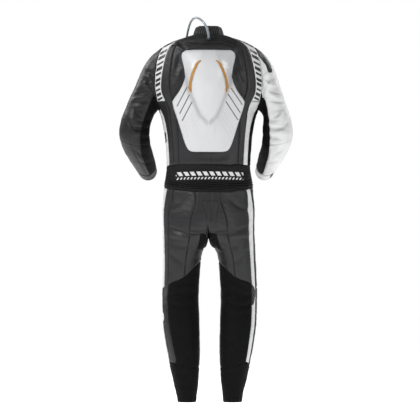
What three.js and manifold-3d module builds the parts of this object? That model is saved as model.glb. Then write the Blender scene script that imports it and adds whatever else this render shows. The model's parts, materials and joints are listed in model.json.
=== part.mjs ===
// Motorcycle race suit, filled out as worn, with its hydration hump and hose.
// Millimetres. +X is the wearer's right, +Y the wearer's front, +Z up.
// The origin is the middle of the neck at shoulder level, where the wearer's shoulders carry the suit.
import * as THREE from 'three';
import { mergeVertices } from 'three/addons/utils/BufferGeometryUtils.js';
import Module from 'manifold-3d';

const wasm = await Module();
wasm.setup();

// Wall thicknesses and the gap at every seam
const LEATHER_THICK = 2.4;
const STRETCH_THICK = 2.0;
const SEAM_GAP = 0.3;

// How the wearer's left and right differ a little in the way the suit hangs
const RIGHT_SIDE = { sign: 1, name: 'right', armOut: -9, legOut: 5 };
const LEFT_SIDE = { sign: -1, name: 'left', armOut: 9, legOut: -4 };
const SIDES = [LEFT_SIDE, RIGHT_SIDE];

const DARK_LEATHER = { color: 0x343434, roughness: 0.5, metalness: 0 };
const WHITE_LEATHER = { color: 0xdedede, roughness: 0.45, metalness: 0 };
const STRETCH = { color: 0x161616, roughness: 0.85, metalness: 0 };
const KNIT = { color: 0x1c1c1c, roughness: 0.95, metalness: 0 };
const SHELL = { color: 0xdcdcdc, roughness: 0.35, metalness: 0 };
const OCHRE = { color: 0xb0752c, roughness: 0.5, metalness: 0 };
const HOSE_CLEAR = { color: 0x9aa6b0, roughness: 0.3, metalness: 0 };
const HARD_PLASTIC = { color: 0x2a2a2a, roughness: 0.4, metalness: 0 };
const ZIP_METAL = { color: 0x8d8f92, roughness: 0.35, metalness: 0.9 };

// Panels whose ribs, gathers or folds stand up from the cloth
const GATHERED_PANELS = ['collar', 'lumbar_band', 'sleeve_inner_left', 'sleeve_inner_right'];

const suit = new THREE.Group();

// Body rings from neck to crotch. z is at the middle of the back, and the front of a ring lies frontDrop lower.
// halfWidth, back and front are measured from the neck's axis. seamA is the seam beside the hump, stripeIn the
// inner edge of the armhole strip and side stripe, and hole is half the depth of the armhole or of the side
// panel, all as x or y from the axis.
const BODY_RINGS = table(
  ['name', 'z', 'halfWidth', 'back', 'front', 'frontDrop', 'seamA', 'stripeIn', 'hole'],
  [
    ['neck', 6, 60, 62, 52, 46, 34, 44, 12],
    ['neckSlope', -6, 108, 78, 58, 44, 70, 86, 14],
    ['yokeEdge', -20, 143, 90, 64, 38, 100, 120, 15],
    ['shoulder', -36, 171, 99, 72, 30, 124, 141, 16],
    ['upper1', -60, 192, 108, 84, 20, 137, 151, 40],
    ['upper2', -95, 207, 118, 97, 11, 141, 162, 55],
    ['upper3', -135, 216, 127, 106, 5, 146, 171, 62],
    ['upper4', -175, 219, 133, 111, 2, 151, 177, 64],
    ['upper5', -215, 214, 135, 113, 0, 144, 179, 59],
    ['upper6', -248, 202, 134, 113, 0, 130, 157, 48],
    ['underarm', -272, 188, 132, 112, 0, 124, 146, 30],
    ['rib1', -312, 176, 127, 110, 0, 121, 142, 58],
    ['rib2', -362, 167, 118, 107, 0, 119, 137, 56],
    ['rib3', -422, 160, 109, 104, 0, 116, 133, 47],
    ['lumbarTop', -484, 156, 102, 103, 0, 113, 130, 40],
    ['lumbarLow', -579, 166, 106, 107, 0, 73, 141, 48],
    ['hip1', -618, 172, 118, 110, 0, 62, 151, 42],
    ['hip2', -655, 174, 127, 112, 0, 83, 154, 41],
    ['split', -690, 173, 129, 110, 0, 100, 155, 40],
  ],
);
const BODY_SQUARENESS = 2.35;
const LUMBAR_GATHERS = 5;
const GATHER_HEIGHT = 2.2;
// The lumbar band's upper edge hangs lower, and its lower edge sits higher, at the sides than at the back
const LUMBAR_TOP_SAG = 15;
const LUMBAR_LOW_RISE = 18;

// Columns run from 0, the middle of the back, to 14, the middle of the front, on each side
const COLUMN = { back: 0, seamA: 3, stripeIn: 4, holeBack: 5, side: 7, holeFront: 9, shoulderFront: 11,
  zipEdge: 13, front: 14 };
const BACK_SHARES = [0, 0.36, 0.7, 1];
const FRONT_SHARES = [1, 0.68, 0.36];
const ZIP_HALF_WIDTH = 13;

// Leg rings. centre is the ring's middle and halfWidth its reach in x, back and front are in y.
// skew lifts the inner side and lowers the outer side, join is how far the ring has left the body's own shape.
const LEG_RINGS = table(
  ['name', 'z', 'centre', 'halfWidth', 'back', 'front', 'skew', 'join'],
  [
    ['split', -690, 86, 87, 129, 110, 0, 0],
    ['seatLow', -716, 87, 85, 124, 108, 0, 0.16],
    ['crotch', -742, 89, 83, 117, 106, 0, 0.38],
    ['thigh1', -775, 93, 80, 110, 103, 4, 0.68],
    ['thigh2', -812, 97, 77, 104, 100, 18, 1],
    ['thigh3', -850, 101, 74, 97, 98, 36, 1],
    ['kneeSeam', -892, 105, 72, 89, 97, 56, 1],
    ['knee1', -935, 108, 71, 80, 98, 34, 1],
    ['knee2', -968, 109, 69, 71, 98, 14, 1],
    ['knee3', -998, 109, 68, 67, 93, 0, 1],
    ['calf1', -1032, 108, 69, 74, 82, 0, 1],
    ['calf2', -1072, 107, 69, 84, 70, 0, 1],
    ['calf3', -1122, 103, 67, 92, 57, 0, 1],
    ['calf4', -1180, 98, 62, 90, 47, 0, 1],
    ['calf5', -1240, 93, 55, 80, 43, 0, 1],
    ['ankle1', -1300, 88, 47, 67, 43, 0, 1],
    ['ankle2', -1340, 86, 39, 59, 46, 0, 1],
    ['hem', -1372, 85, 35, 54, 49, 0, 1],
  ],
);
const LEG_SQUARENESS = 2.15;
// The height over which a side's sleeve or leg swings out from its place on a mirrored figure
const SPREAD_OVER = 195;
// Where the body's columns run down a leg, in degrees from the back round the outer side. The rest is inseam.
const LEG_TURNS = [-58, -34, -10, 18, 47, 67, 80, 93, 106, 120, 138, 160, 184, 208, 232];
const INNER_COLUMNS = 5;
const CROTCH_DEPTH = 54;
const CROTCH_ROUNDING = 0.8;

// Sleeve rings, from the shoulder's cap to the wrist, by their outermost and innermost points seen from behind.
// y is the ring's middle, halfDepth its reach forwards and back, and lean is how far the arm there points
// forwards, in degrees.
const SLEEVE_RINGS = table(
  ['name', 'outerX', 'outerZ', 'innerX', 'innerZ', 'y', 'halfDepth', 'lean'],
  [
    ['cap2', 243, -108, 205, -299, -4, 69, 0],
    ['upper1', 267, -175, 207, -314, -8, 68, 0],
    ['upper2', 292, -238, 210, -332, -14, 65, 2],
    ['upper3', 314, -294, 213, -352, -20, 63, 8],
    ['elbow1', 325, -336, 213, -370, -22, 62, 16],
    ['elbow2', 328, -368, 212, -392, -12, 60, 30],
    ['elbow3', 321, -398, 209, -414, 12, 58, 42],
    ['fore1', 305, -430, 203, -438, 46, 54, 50],
    ['fore2', 285, -460, 195, -462, 86, 50, 54],
    ['fore3', 267, -486, 189, -486, 126, 45, 56],
    ['cuff', 254, -508, 186, -508, 164, 41, 56],
  ],
);
const ELBOW_FOLD = 3.2;
// A ring between the armhole and the first sleeve ring, puffed up and outwards at the top of the shoulder
const CAP = { share: 0.45, puff: 9 };

// Stand collar, ribbed up and down
const COLLAR = { height: 32, topShrink: 13, leanForward: 6, ribsInCell: 2, ribHeight: 1.4,
  levels: [{ height: 1 }, { height: 0.5 }] };

// Hydration hump on the back. stripe and crest are the x of the curved trim and of the raised part's edge,
// rise is the raised part's height over the back.
const HUMP_RINGS = table(
  ['z', 'halfWidth', 'stripe', 'crest', 'rise'],
  [
    [-51, 84, 20, 72, 0],
    [-60, 97, 21, 87, 22],
    [-75, 101, 24, 93, 39],
    [-95, 97, 29, 90, 50],
    [-115, 92, 43, 86, 56],
    [-135, 89, 50, 83, 59],
    [-155, 87, 56, 81, 59],
    [-175, 91, 62, 79, 56.5],
    [-195, 100, 67, 75, 52],
    [-215, 111, 62, 69, 45],
    [-235, 127, 50, 60, 37],
    [-248, 134, 42, 54, 31],
    [-272, 130, 33, 44, 21],
    [-312, 115, 22, 31, 10],
    [-362, 100, 20, 28, 3],
    [-422, 82, 15, 24, 0],
    [-436, 66, 12, 18, 0],
  ],
);
// plate is how far the shell's flat stands off the back, and slopes are how far inside its rim it takes to rise
const HUMP = { wall: 2.6, seat: 0.9, plate: 7, sideSlope: 16, topSlope: 6, bottomSlope: 10, crestPower: 4,
  innerShare: 0.55, crestInset: 1.2, trimGap: 2, stripeWidth: 6, stripeThick: 1.2,
  stripeFrom: 3, stripeTo: 9 };

// Front zip: slider just under the neck, with a pull tab that swings on it
const ZIP = { sliderWidth: 10, sliderLength: 14, sliderBase: 2, bridgeRadius: 2.7,
  bridgeHole: 1.6, bridgeWidth: 3, axisHeight: 3.8, barSize: 1.6, pullWidth: 9, pullLength: 26,
  pullThick: 1.6, windowLength: 8, windowHalf: 2.4, pullRound: 3 };

// Hydration hose: out of the yoke, over the left shoulder and down the left of the chest
const HOSE = { radius: 4.2, sides: 8, steps: 30 };
const HOSE_ROUTE = [
  [0, -88.5, -9.1], [0, -93.8, -4.5], [-1, -99.5, 5], [-5, -102.9, 22.5], [-13, -99, 40], [-25, -88, 54.5],
  [-38, -71, 63.5], [-50, -51, 66], [-60, -33, 61], [-68, -15, 49], [-74, 2, 32], [-79, 19, 12], [-83, 36, -10],
  [-86, 52, -32], [-88, 68, -53], [-89, 83, -74], [-89, 97.5, -103], [-89, 106.5, -139], [-88, 112, -176],
];
const HOSE_EXIT = { radius: 9, length: 5, taper: 1.5 };
const BITE_VALVE = { radius: 7, length: 34 };

function table(columns, rows) {
  return rows.map((row) => Object.fromEntries(columns.map((column, index) => [column, row[index]])));
}

function mix(a, b, share) {
  return a + (b - a) * share;
}

function smooth(share) {
  const t = Math.min(1, Math.max(0, share));
  return t * t * (3 - 2 * t);
}

// Surfaces

function signedPower(value, power) {
  return Math.sign(value) * Math.abs(value) ** power;
}

// A point of a rounded ring, where an angle of 0 is the back and a quarter turn is the side
function ringPoint(ring, angle, squareness, z) {
  const power = 2 / squareness;
  const middle = (ring.front - ring.back) / 2;
  const halfDepth = (ring.front + ring.back) / 2;
  const x = (ring.centre ?? 0) + ring.halfWidth * signedPower(Math.sin(angle), power);
  const y = middle - halfDepth * signedPower(Math.cos(angle), power);
  return new THREE.Vector3(x, y, z);
}

function angleAtX(ring, x) {
  return Math.asin(Math.min(1, x / ring.halfWidth) ** (BODY_SQUARENESS / 2));
}

function angleAtY(ring, y) {
  const middle = (ring.front - ring.back) / 2;
  const halfDepth = (ring.front + ring.back) / 2;
  return Math.acos(signedPower((middle - y) / halfDepth, BODY_SQUARENESS / 2));
}

function mixRings(first, second, share) {
  const ring = {};
  for (const key of Object.keys(first)) {
    ring[key] = typeof first[key] === 'number' ? mix(first[key], second[key], share) : first[key];
  }
  return ring;
}

function bodyRingAt(z) {
  const last = BODY_RINGS.length - 1;
  let index = 0;
  while (index < last - 1 && BODY_RINGS[index + 1].z > z) {
    index += 1;
  }
  const above = BODY_RINGS[index];
  const below = BODY_RINGS[index + 1];
  return mixRings(above, below, (above.z - z) / (above.z - below.z));
}

// The angles of columns 0 to 14 on one body ring
function columnAngles(ring) {
  const back = BACK_SHARES.map((share) => angleAtX(ring, ring.seamA * share));
  const stripe = angleAtX(ring, ring.stripeIn);
  const holeBack = angleAtY(ring, -ring.hole);
  const holeFront = angleAtY(ring, ring.hole);
  const sides = [0, 0.25, 0.5, 0.75, 1].map((share) => mix(holeBack, holeFront, share));
  const front = FRONT_SHARES.map((share) => Math.PI - angleAtX(ring, ring.stripeIn * share));
  return [...back, stripe, ...sides, ...front, Math.PI - angleAtX(ring, ZIP_HALF_WIDTH), Math.PI];
}

function bodyPoint(ring, angle) {
  const towardsFront = ((1 - Math.cos(angle)) / 2) ** 3;
  const z = ring.z - ring.frontDrop * towardsFront + ring.sag * Math.sin(angle) ** 2;
  return ringPoint(ring, angle, BODY_SQUARENESS, z);
}

// The rows of the body's grid: the table's rings, with the lumbar band's gathers between two of them
function bodyRows() {
  const rows = [];
  for (const ring of BODY_RINGS) {
    const sag = { lumbarTop: -LUMBAR_TOP_SAG, lumbarLow: LUMBAR_LOW_RISE }[ring.name] ?? 0;
    rows.push({ ...ring, sag, raise: 0 });
    if (ring.name === 'lumbarTop') {
      rows.push(...gatherRows(rows[rows.length - 1]));
    }
  }
  return rows;
}

function gatherRows(top) {
  const low = { ...BODY_RINGS.find((ring) => ring.name === 'lumbarLow'), sag: LUMBAR_LOW_RISE };
  const count = LUMBAR_GATHERS * 2;
  const rows = [];
  for (let index = 1; index < count; index += 1) {
    const raise = index % 2 === 1 ? GATHER_HEIGHT : 0;
    rows.push({ ...mixRings(top, low, index / count), name: `gather${index}`, raise });
  }
  return rows;
}

const ROWS = bodyRows();
const ROW_INDEX = Object.fromEntries(ROWS.map((row, index) => [row.name, index]));
const LEG_ROW_INDEX = Object.fromEntries(LEG_RINGS.map((row, index) => [row.name, index]));
const SLEEVE_ROW_INDEX = Object.fromEntries(SLEEVE_RINGS.map((row, index) => [row.name, index + 2]));

// The body's grid on one side: one list of points for each row
function bodyGrid(side) {
  return ROWS.map((row) => columnAngles(row).map((angle) => {
    const point = bodyPoint(row, angle);
    const onMiddle = angle === 0 || angle === Math.PI;
    point.x = onMiddle ? 0 : point.x * side.sign;
    return point;
  }));
}

// The seam between the legs, from the front to the back, which is a leg's first row on its inner side
function crotchPoint(share) {
  const ring = LEG_RINGS[0];
  const y = mix(ring.front, -ring.back, share);
  return new THREE.Vector3(0, y, ring.z - CROTCH_DEPTH * Math.sin(Math.PI * share) ** CROTCH_ROUNDING);
}

// The grid of one leg: the body's 15 columns, then those of the inseam, and back to the first
function legGrid(side) {
  const splitAngles = columnAngles(BODY_RINGS[BODY_RINGS.length - 1]);
  return LEG_RINGS.map((ring) => {
    const out = side.legOut * smooth((LEG_RINGS[0].z - ring.z) / SPREAD_OVER);
    const placed = { ...ring, centre: ring.centre + out };
    const points = LEG_TURNS.map((degrees, column) => {
      const angle = THREE.MathUtils.degToRad(degrees);
      const fromBody = bodyPoint({ ...ROWS[ROWS.length - 1], z: ring.z }, splitAngles[column]);
      return legPoint(placed, angle, fromBody, side);
    });
    for (let index = 1; index < INNER_COLUMNS; index += 1) {
      const share = index / INNER_COLUMNS;
      const angle = THREE.MathUtils.degToRad(mix(LEG_TURNS[LEG_TURNS.length - 1], 360 + LEG_TURNS[0], share));
      const fromBody = crotchPoint(share);
      fromBody.z += ring.z - LEG_RINGS[0].z;
      points.push(legPoint(placed, angle, fromBody, side));
    }
    return points;
  });
}

function legPoint(ring, angle, fromBody, side) {
  const own = ringPoint(ring, angle, LEG_SQUARENESS, ring.z - ring.skew * Math.sin(angle));
  const point = fromBody.clone().lerp(own, ring.join);
  const onMiddle = Math.abs(point.x) < 0.01;
  point.x = onMiddle ? 0 : point.x * side.sign;
  return point;
}

// The armhole's edge in the body's grid, from its top over the back to the underarm and up the front
function armholeLoop(grid) {
  const top = ROW_INDEX.shoulder;
  const low = ROW_INDEX.underarm;
  const { holeBack, side, holeFront } = COLUMN;
  const loop = [];
  for (let column = side; column > holeBack; column -= 1) {
    loop.push(grid[top][column]);
  }
  for (let row = top; row < low; row += 1) {
    loop.push(grid[row][holeBack]);
  }
  for (let column = holeBack; column < holeFront; column += 1) {
    loop.push(grid[low][column]);
  }
  for (let row = low; row > top; row -= 1) {
    loop.push(grid[row][holeFront]);
  }
  for (let column = holeFront; column > side; column -= 1) {
    loop.push(grid[top][column]);
  }
  return loop;
}

function sleeveGrid(side, loop) {
  const rings = SLEEVE_RINGS.map((ring) => {
    const lean = THREE.MathUtils.degToRad(ring.lean);
    const out = side.armOut * smooth((SLEEVE_RINGS[0].outerZ - ring.outerZ) / SPREAD_OVER);
    const points = [];
    for (let column = 0; column < loop.length; column += 1) {
      const turn = (2 * Math.PI * column) / loop.length;
      const across = Math.cos(turn) / 2;
      const backwards = Math.sin(turn) * ring.halfDepth;
      const x = (ring.outerX + ring.innerX) / 2 + (ring.outerX - ring.innerX) * across + out;
      const z = (ring.outerZ + ring.innerZ) / 2 + (ring.outerZ - ring.innerZ) * across;
      const point = new THREE.Vector3(x, ring.y - backwards * Math.cos(lean), z - backwards * Math.sin(lean));
      point.x *= side.sign;
      points.push(point);
    }
    return points;
  });
  return [loop, capRing(side, loop, rings[0]), ...rings];
}

function capRing(side, loop, ring) {
  const outwards = new THREE.Vector3(side.sign, 0, 1).normalize();
  return loop.map((point, column) => {
    const puff = CAP.puff * Math.max(0, Math.cos((2 * Math.PI * column) / loop.length));
    return point.clone().lerp(ring[column], CAP.share).addScaledVector(outwards, puff);
  });
}

// Cloth panels. Every panel is a set of grid cells, and all cells share one pool of points, so that neighbours
// have the same edge and the same normals there.

const pool = { points: [], normals: [], keys: new Map() };

function pooled(point) {
  const key = point.toArray().map((value) => Math.round(value * 1000)).join();
  if (!pool.keys.has(key)) {
    pool.keys.set(key, pool.points.length);
    pool.points.push(point.clone());
    pool.normals.push(new THREE.Vector3());
  }
  return pool.keys.get(key);
}

// One cell between two rows and two columns, its corners in the order that faces out
function gridCell(grid, row, column, outwards) {
  const next = (column + 1) % grid[row].length;
  const corners = [grid[row][column], grid[row + 1][column], grid[row + 1][next], grid[row][next]];
  const ordered = outwards ? corners : corners.reverse();
  return ordered.map(pooled);
}

// Cells of a block of rows and columns. A column past the last starts again at 0 on a closed ring.
function block(grid, rowFrom, rowTo, columnFrom, columnTo, outwards) {
  const cells = [];
  for (let row = rowFrom; row < rowTo; row += 1) {
    for (let column = columnFrom; column < columnTo; column += 1) {
      cells.push(gridCell(grid, row, column % grid[row].length, outwards));
    }
  }
  return cells;
}

function addNormals(cells) {
  for (const cell of cells) {
    const [a, b, c, d] = cell.map((index) => pool.points[index]);
    const facing = c.clone().sub(a).cross(d.clone().sub(b));
    cell.forEach((index) => pool.normals[index].add(facing));
  }
}

const SHORTEST_MITRE = 0.35;

// The unit direction along a panel's surface that leads from each edge point into the panel, scaled for a mitre
function insetDirections(cells) {
  const edges = new Map();
  for (const cell of cells) {
    cell.forEach((from, corner) => {
      const to = cell[(corner + 1) % 4];
      edges.set(`${from},${to}`, [from, to]);
    });
  }
  const border = [...edges.values()].filter(([from, to]) => !edges.has(`${to},${from}`));
  const inwards = new Map();
  for (const [from, to] of border) {
    const along = pool.points[to].clone().sub(pool.points[from]).normalize();
    for (const index of [from, to]) {
      const inward = pool.normals[index].clone().cross(along).normalize();
      inwards.set(index, [...(inwards.get(index) ?? []), inward]);
    }
  }
  const directions = new Map();
  for (const [index, list] of inwards) {
    const sum = list.reduce((total, inward) => total.add(inward), new THREE.Vector3());
    const mitre = Math.max(SHORTEST_MITRE, sum.length() / list.length);
    directions.set(index, sum.normalize().multiplyScalar(1 / mitre));
  }
  return { border, directions };
}

// A closed slab over a set of cells. raiseOf gives how far a point of the outer face stands up.
function slabGeometry(cells, thickness, raiseOf) {
  const { border, directions } = insetDirections(cells);
  const indices = [...new Set(cells.flat())];
  const local = new Map(indices.map((index, place) => [index, place]));
  const outer = [];
  const inner = [];
  for (const index of indices) {
    const normal = pool.normals[index];
    const base = pool.points[index].clone();
    if (directions.has(index)) {
      base.addScaledVector(directions.get(index), SEAM_GAP / 2);
    }
    outer.push(base.clone().addScaledVector(normal, raiseOf(index)));
    inner.push(base.addScaledVector(normal, -thickness));
  }
  const count = indices.length;
  const faces = [];
  for (const cell of cells) {
    const [a, b, c, d] = cell.map((index) => local.get(index));
    faces.push(a, b, c, a, c, d, a + count, c + count, b + count, a + count, d + count, c + count);
  }
  for (const [from, to] of border) {
    const a = local.get(from);
    const b = local.get(to);
    // Neighbours cut the wall between them along the same diagonal, so that a twisted wall fits its neighbour's
    if (from < to) {
      faces.push(b, a, b + count, a, a + count, b + count);
    } else {
      faces.push(b, a, a + count, b, a + count, b + count);
    }
  }
  const geometry = new THREE.BufferGeometry();
  const positions = [...outer, ...inner].flatMap((point) => point.toArray());
  geometry.setAttribute('position', new THREE.Float32BufferAttribute(positions, 3));
  geometry.setIndex(faces);
  return geometry;
}

function addMesh(name, geometry, look, parent = suit) {
  const mesh = new THREE.Mesh(geometry, new THREE.MeshStandardMaterial(look));
  mesh.name = name;
  parent.add(mesh);
  return mesh;
}

const raises = new Map();

function raiseAt(index) {
  return raises.get(index) ?? 0;
}

const panels = [];

function panel(name, look, ...blocks) {
  const cells = blocks.flat();
  addNormals(cells);
  panels.push({ name, look, cells });
}

const grids = Object.fromEntries(SIDES.map((side) => {
  const body = bodyGrid(side);
  return [side.name, { body, leg: legGrid(side), sleeve: sleeveGrid(side, armholeLoop(body)) }];
}));

function bodyBlock(side, rowFrom, rowTo, columnFrom, columnTo) {
  const grid = grids[side.name].body;
  return block(grid, ROW_INDEX[rowFrom], ROW_INDEX[rowTo], columnFrom, columnTo, side.sign > 0);
}

function legBlock(side, rowFrom, rowTo, columnFrom, columnTo) {
  const grid = grids[side.name].leg;
  return block(grid, LEG_ROW_INDEX[rowFrom], LEG_ROW_INDEX[rowTo], columnFrom, columnTo, side.sign > 0);
}

function sleeveBlock(side, rowFrom, rowTo, columnFrom, columnTo) {
  const grid = grids[side.name].sleeve;
  return block(grid, rowFrom, rowTo, columnFrom, columnTo, side.sign < 0);
}

function bothSides(makeBlock, ...range) {
  return SIDES.flatMap((side) => makeBlock(side, ...range));
}

// Upper body

function makeUpperBody() {
  const { seamA, stripeIn, holeBack, side: sideColumn, holeFront, shoulderFront, zipEdge, front } = COLUMN;
  panel('yoke_back', STRETCH, bothSides(bodyBlock, 'neck', 'shoulder', 0, seamA));
  panel('back_centre', DARK_LEATHER, bothSides(bodyBlock, 'shoulder', 'lumbarTop', 0, seamA));
  panel('lumbar_band', STRETCH, bothSides(bodyBlock, 'lumbarTop', 'lumbarLow', 0, sideColumn));
  panel('zip_tape', KNIT, collarBlocks(zipEdge, front, 1),
    bothSides(bodyBlock, 'neck', 'split', zipEdge, front));
  panel('collar', KNIT, collarBlocks(0, zipEdge, COLLAR.ribsInCell * 2));
  for (const side of SIDES) {
    const white = side.sign > 0;
    panel(`shoulder_${side.name}`, DARK_LEATHER,
      bodyBlock(side, 'neck', 'yokeEdge', seamA, shoulderFront),
      bodyBlock(side, 'yokeEdge', 'shoulder', seamA, stripeIn),
      bodyBlock(side, 'yokeEdge', 'shoulder', holeBack, shoulderFront));
    panel(`armhole_strip_${side.name}`, WHITE_LEATHER,
      bodyBlock(side, 'yokeEdge', 'upper6', stripeIn, holeBack));
    panel(`back_side_${side.name}`, DARK_LEATHER, bodyBlock(side, 'shoulder', 'lumbarTop', seamA, stripeIn));
    panel(`side_stripe_${side.name}`, white ? WHITE_LEATHER : DARK_LEATHER,
      bodyBlock(side, 'upper6', 'lumbarTop', stripeIn, holeBack));
    panel(`side_panel_${side.name}`, white ? STRETCH : WHITE_LEATHER,
      bodyBlock(side, 'underarm', 'lumbarTop', holeBack, holeFront));
    panel(`front_${side.name}`, white ? WHITE_LEATHER : DARK_LEATHER,
      bodyBlock(side, 'neck', 'shoulder', shoulderFront, zipEdge),
      bodyBlock(side, 'shoulder', 'lumbarTop', holeFront, zipEdge));
    panel(`front_waist_${side.name}`, DARK_LEATHER,
      bodyBlock(side, 'lumbarTop', 'lumbarLow', sideColumn, zipEdge),
      bodyBlock(side, 'lumbarLow', 'split', holeFront, zipEdge));
  }
}

// The collar's grid over a range of the neck's columns, each cut into finer columns along its straight edge
function collarBlocks(columnFrom, columnTo, parts) {
  return SIDES.flatMap((side) => {
    const neck = grids[side.name].body[ROW_INDEX.neck];
    const base = [];
    for (let column = columnFrom; column < columnTo; column += 1) {
      for (let part = 0; part < parts; part += 1) {
        base.push(neck[column].clone().lerp(neck[column + 1], part / parts));
      }
    }
    base.push(neck[columnTo].clone());
    const levels = COLLAR.levels.map((level) => base.map((point) => collarPoint(point, level)));
    if (parts > 1) {
      levels.forEach((level) => level.forEach((point, place) => {
        raises.set(pooled(point), place % 2 === 1 ? COLLAR.ribHeight : 0);
      }));
    }
    return block([...levels, base], 0, levels.length, 0, base.length - 1, side.sign > 0);
  });
}

function collarPoint(neckPoint, level) {
  const ring = BODY_RINGS[0];
  const middle = (ring.front - ring.back) / 2;
  const scale = 1 - (COLLAR.topShrink / ring.halfWidth) * level.height;
  const y = middle + (neckPoint.y - middle) * scale + COLLAR.leanForward * level.height;
  return new THREE.Vector3(neckPoint.x * scale, y, neckPoint.z + COLLAR.height * level.height);
}

// Seat and legs

function makeLegs() {
  const { stripeIn, holeBack, holeFront, zipEdge, front } = COLUMN;
  const seatSeam = 2;
  const around = front + INNER_COLUMNS;
  const innerFront = front + 2;
  const innerBack = front + 4;
  panel('seat_centre', DARK_LEATHER, bothSides(bodyBlock, 'lumbarLow', 'split', 0, seatSeam),
    bothSides(legBlock, 'split', 'crotch', 0, seatSeam));
  panel('crotch_gusset', STRETCH, bothSides(legBlock, 'split', 'thigh2', front, around),
    bothSides(legBlock, 'crotch', 'thigh2', 0, 1));
  for (const side of SIDES) {
    const white = side.sign > 0;
    const { name } = side;
    panel(`thigh_back_${name}`, DARK_LEATHER, bodyBlock(side, 'lumbarLow', 'split', seatSeam, stripeIn),
      legBlock(side, 'split', 'kneeSeam', seatSeam, stripeIn));
    panel(`thigh_inner_${name}`, DARK_LEATHER, legBlock(side, 'crotch', 'thigh2', 1, seatSeam),
      legBlock(side, 'thigh2', 'kneeSeam', front, around + seatSeam));
    panel(`leg_stripe_${name}`, white ? WHITE_LEATHER : DARK_LEATHER,
      bodyBlock(side, 'lumbarLow', 'split', stripeIn, holeBack),
      legBlock(side, 'split', 'calf5', stripeIn, holeBack));
    panel(`thigh_side_${name}`, white ? DARK_LEATHER : WHITE_LEATHER,
      bodyBlock(side, 'lumbarLow', 'split', holeBack, holeFront),
      legBlock(side, 'split', 'kneeSeam', holeBack, holeFront));
    panel(`thigh_front_${name}`, DARK_LEATHER, legBlock(side, 'split', 'kneeSeam', holeFront, front));
    panel(`knee_back_${name}`, STRETCH, legBlock(side, 'kneeSeam', 'calf5', innerBack, around + stripeIn));
    panel(`calf_side_${name}`, DARK_LEATHER, legBlock(side, 'kneeSeam', 'calf5', holeBack, holeFront));
    panel(`knee_front_${name}`, DARK_LEATHER, legBlock(side, 'kneeSeam', 'knee3', holeFront, innerFront));
    panel(`shin_${name}`, white ? WHITE_LEATHER : DARK_LEATHER,
      legBlock(side, 'knee3', 'calf5', holeFront, innerFront));
    panel(`calf_inner_${name}`, DARK_LEATHER, legBlock(side, 'kneeSeam', 'calf5', innerFront, innerBack));
    panel(`ankle_cuff_${name}`, STRETCH, legBlock(side, 'calf5', 'hem', 0, around));
  }
}

// Sleeves

function makeSleeves() {
  const innerFrom = 7;
  const innerTo = 15;
  const around = grids.left.sleeve[0].length;
  const { elbow2, fore3, cuff } = SLEEVE_ROW_INDEX;
  for (const side of SIDES) {
    const leather = side.sign > 0 ? WHITE_LEATHER : DARK_LEATHER;
    panel(`sleeve_${side.name}`, leather, sleeveBlock(side, 0, elbow2, innerTo, around + innerFrom));
    panel(`sleeve_inner_${side.name}`, STRETCH, sleeveBlock(side, 0, fore3, innerFrom, innerTo));
    panel(`forearm_${side.name}`, leather, sleeveBlock(side, elbow2, fore3, innerTo, around + innerFrom));
    panel(`cuff_${side.name}`, leather, sleeveBlock(side, fore3, cuff, 0, around));
    raiseElbowFolds(grids[side.name].sleeve, innerFrom, innerTo);
  }
}

// Folds of the stretch cloth inside the bent elbow
function raiseElbowFolds(grid, columnFrom, columnTo) {
  const { upper3, elbow2, fore1 } = SLEEVE_ROW_INDEX;
  for (const row of [upper3, elbow2, fore1]) {
    for (let column = columnFrom + 1; column < columnTo; column += 1) {
      raises.set(pooled(grid[row][column]), ELBOW_FOLD);
    }
  }
}

// Gathers of the lumbar band, which run straight across the back
function raiseLumbarGathers() {
  for (const side of SIDES) {
    ROWS.forEach((row, index) => {
      const points = grids[side.name].body[index];
      points.slice(0, COLUMN.side).forEach((point) => {
        if (row.raise > 0) {
          raises.set(pooled(point), row.raise);
        }
      });
    });
  }
}

// Hydration hump: a hollow shell on the back panel, open towards the wearer's back

// Columns across the hump on one side, as x, worked out from one of its rings
function humpColumns(ring) {
  const half = HUMP.stripeWidth / 2;
  const trim = Math.min(ring.stripe, ring.crest - half - HUMP.trimGap);
  const shoulder = ring.crest + (ring.halfWidth - ring.crest) / 3;
  const inner = (trim - half) * HUMP.innerShare;
  return [0, inner, trim - half, trim + half, ring.crest - HUMP.crestInset, shoulder, ring.halfWidth];
}

function humpHeight(ring, x) {
  const raised = ring.rise * Math.max(0, 1 - (Math.abs(x) / ring.crest) ** HUMP.crestPower);
  const side = smooth((ring.halfWidth - Math.abs(x)) / HUMP.sideSlope);
  const top = smooth((HUMP_RINGS[0].z - ring.z) / HUMP.topSlope);
  const bottom = smooth((ring.z - HUMP_RINGS[HUMP_RINGS.length - 1].z) / HUMP.bottomSlope);
  return raised + HUMP.plate * side * top * bottom;
}

// The back's point and normal at a height and a distance from the middle
function backAt(x, z) {
  const at = (across, height) => {
    const ring = { ...bodyRingAt(height), sag: 0, z: height, frontDrop: 0 };
    const point = bodyPoint(ring, angleAtX(ring, Math.abs(across)));
    point.x *= Math.sign(across) || 1;
    return point;
  };
  const step = 4;
  const acrossBack = at(x + step, z).sub(at(x - step, z));
  const upBack = at(x, z + step).sub(at(x, z - step));
  return { point: at(x, z), normal: acrossBack.cross(upBack).normalize() };
}

function humpGrid() {
  return HUMP_RINGS.map((ring) => {
    const half = humpColumns(ring);
    const across = [...half.slice(1).reverse().map((x) => -x), ...half];
    return across.map((x) => {
      const { point, normal } = backAt(x, ring.z);
      return { point, normal, height: humpHeight(ring, x) };
    });
  });
}

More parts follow.
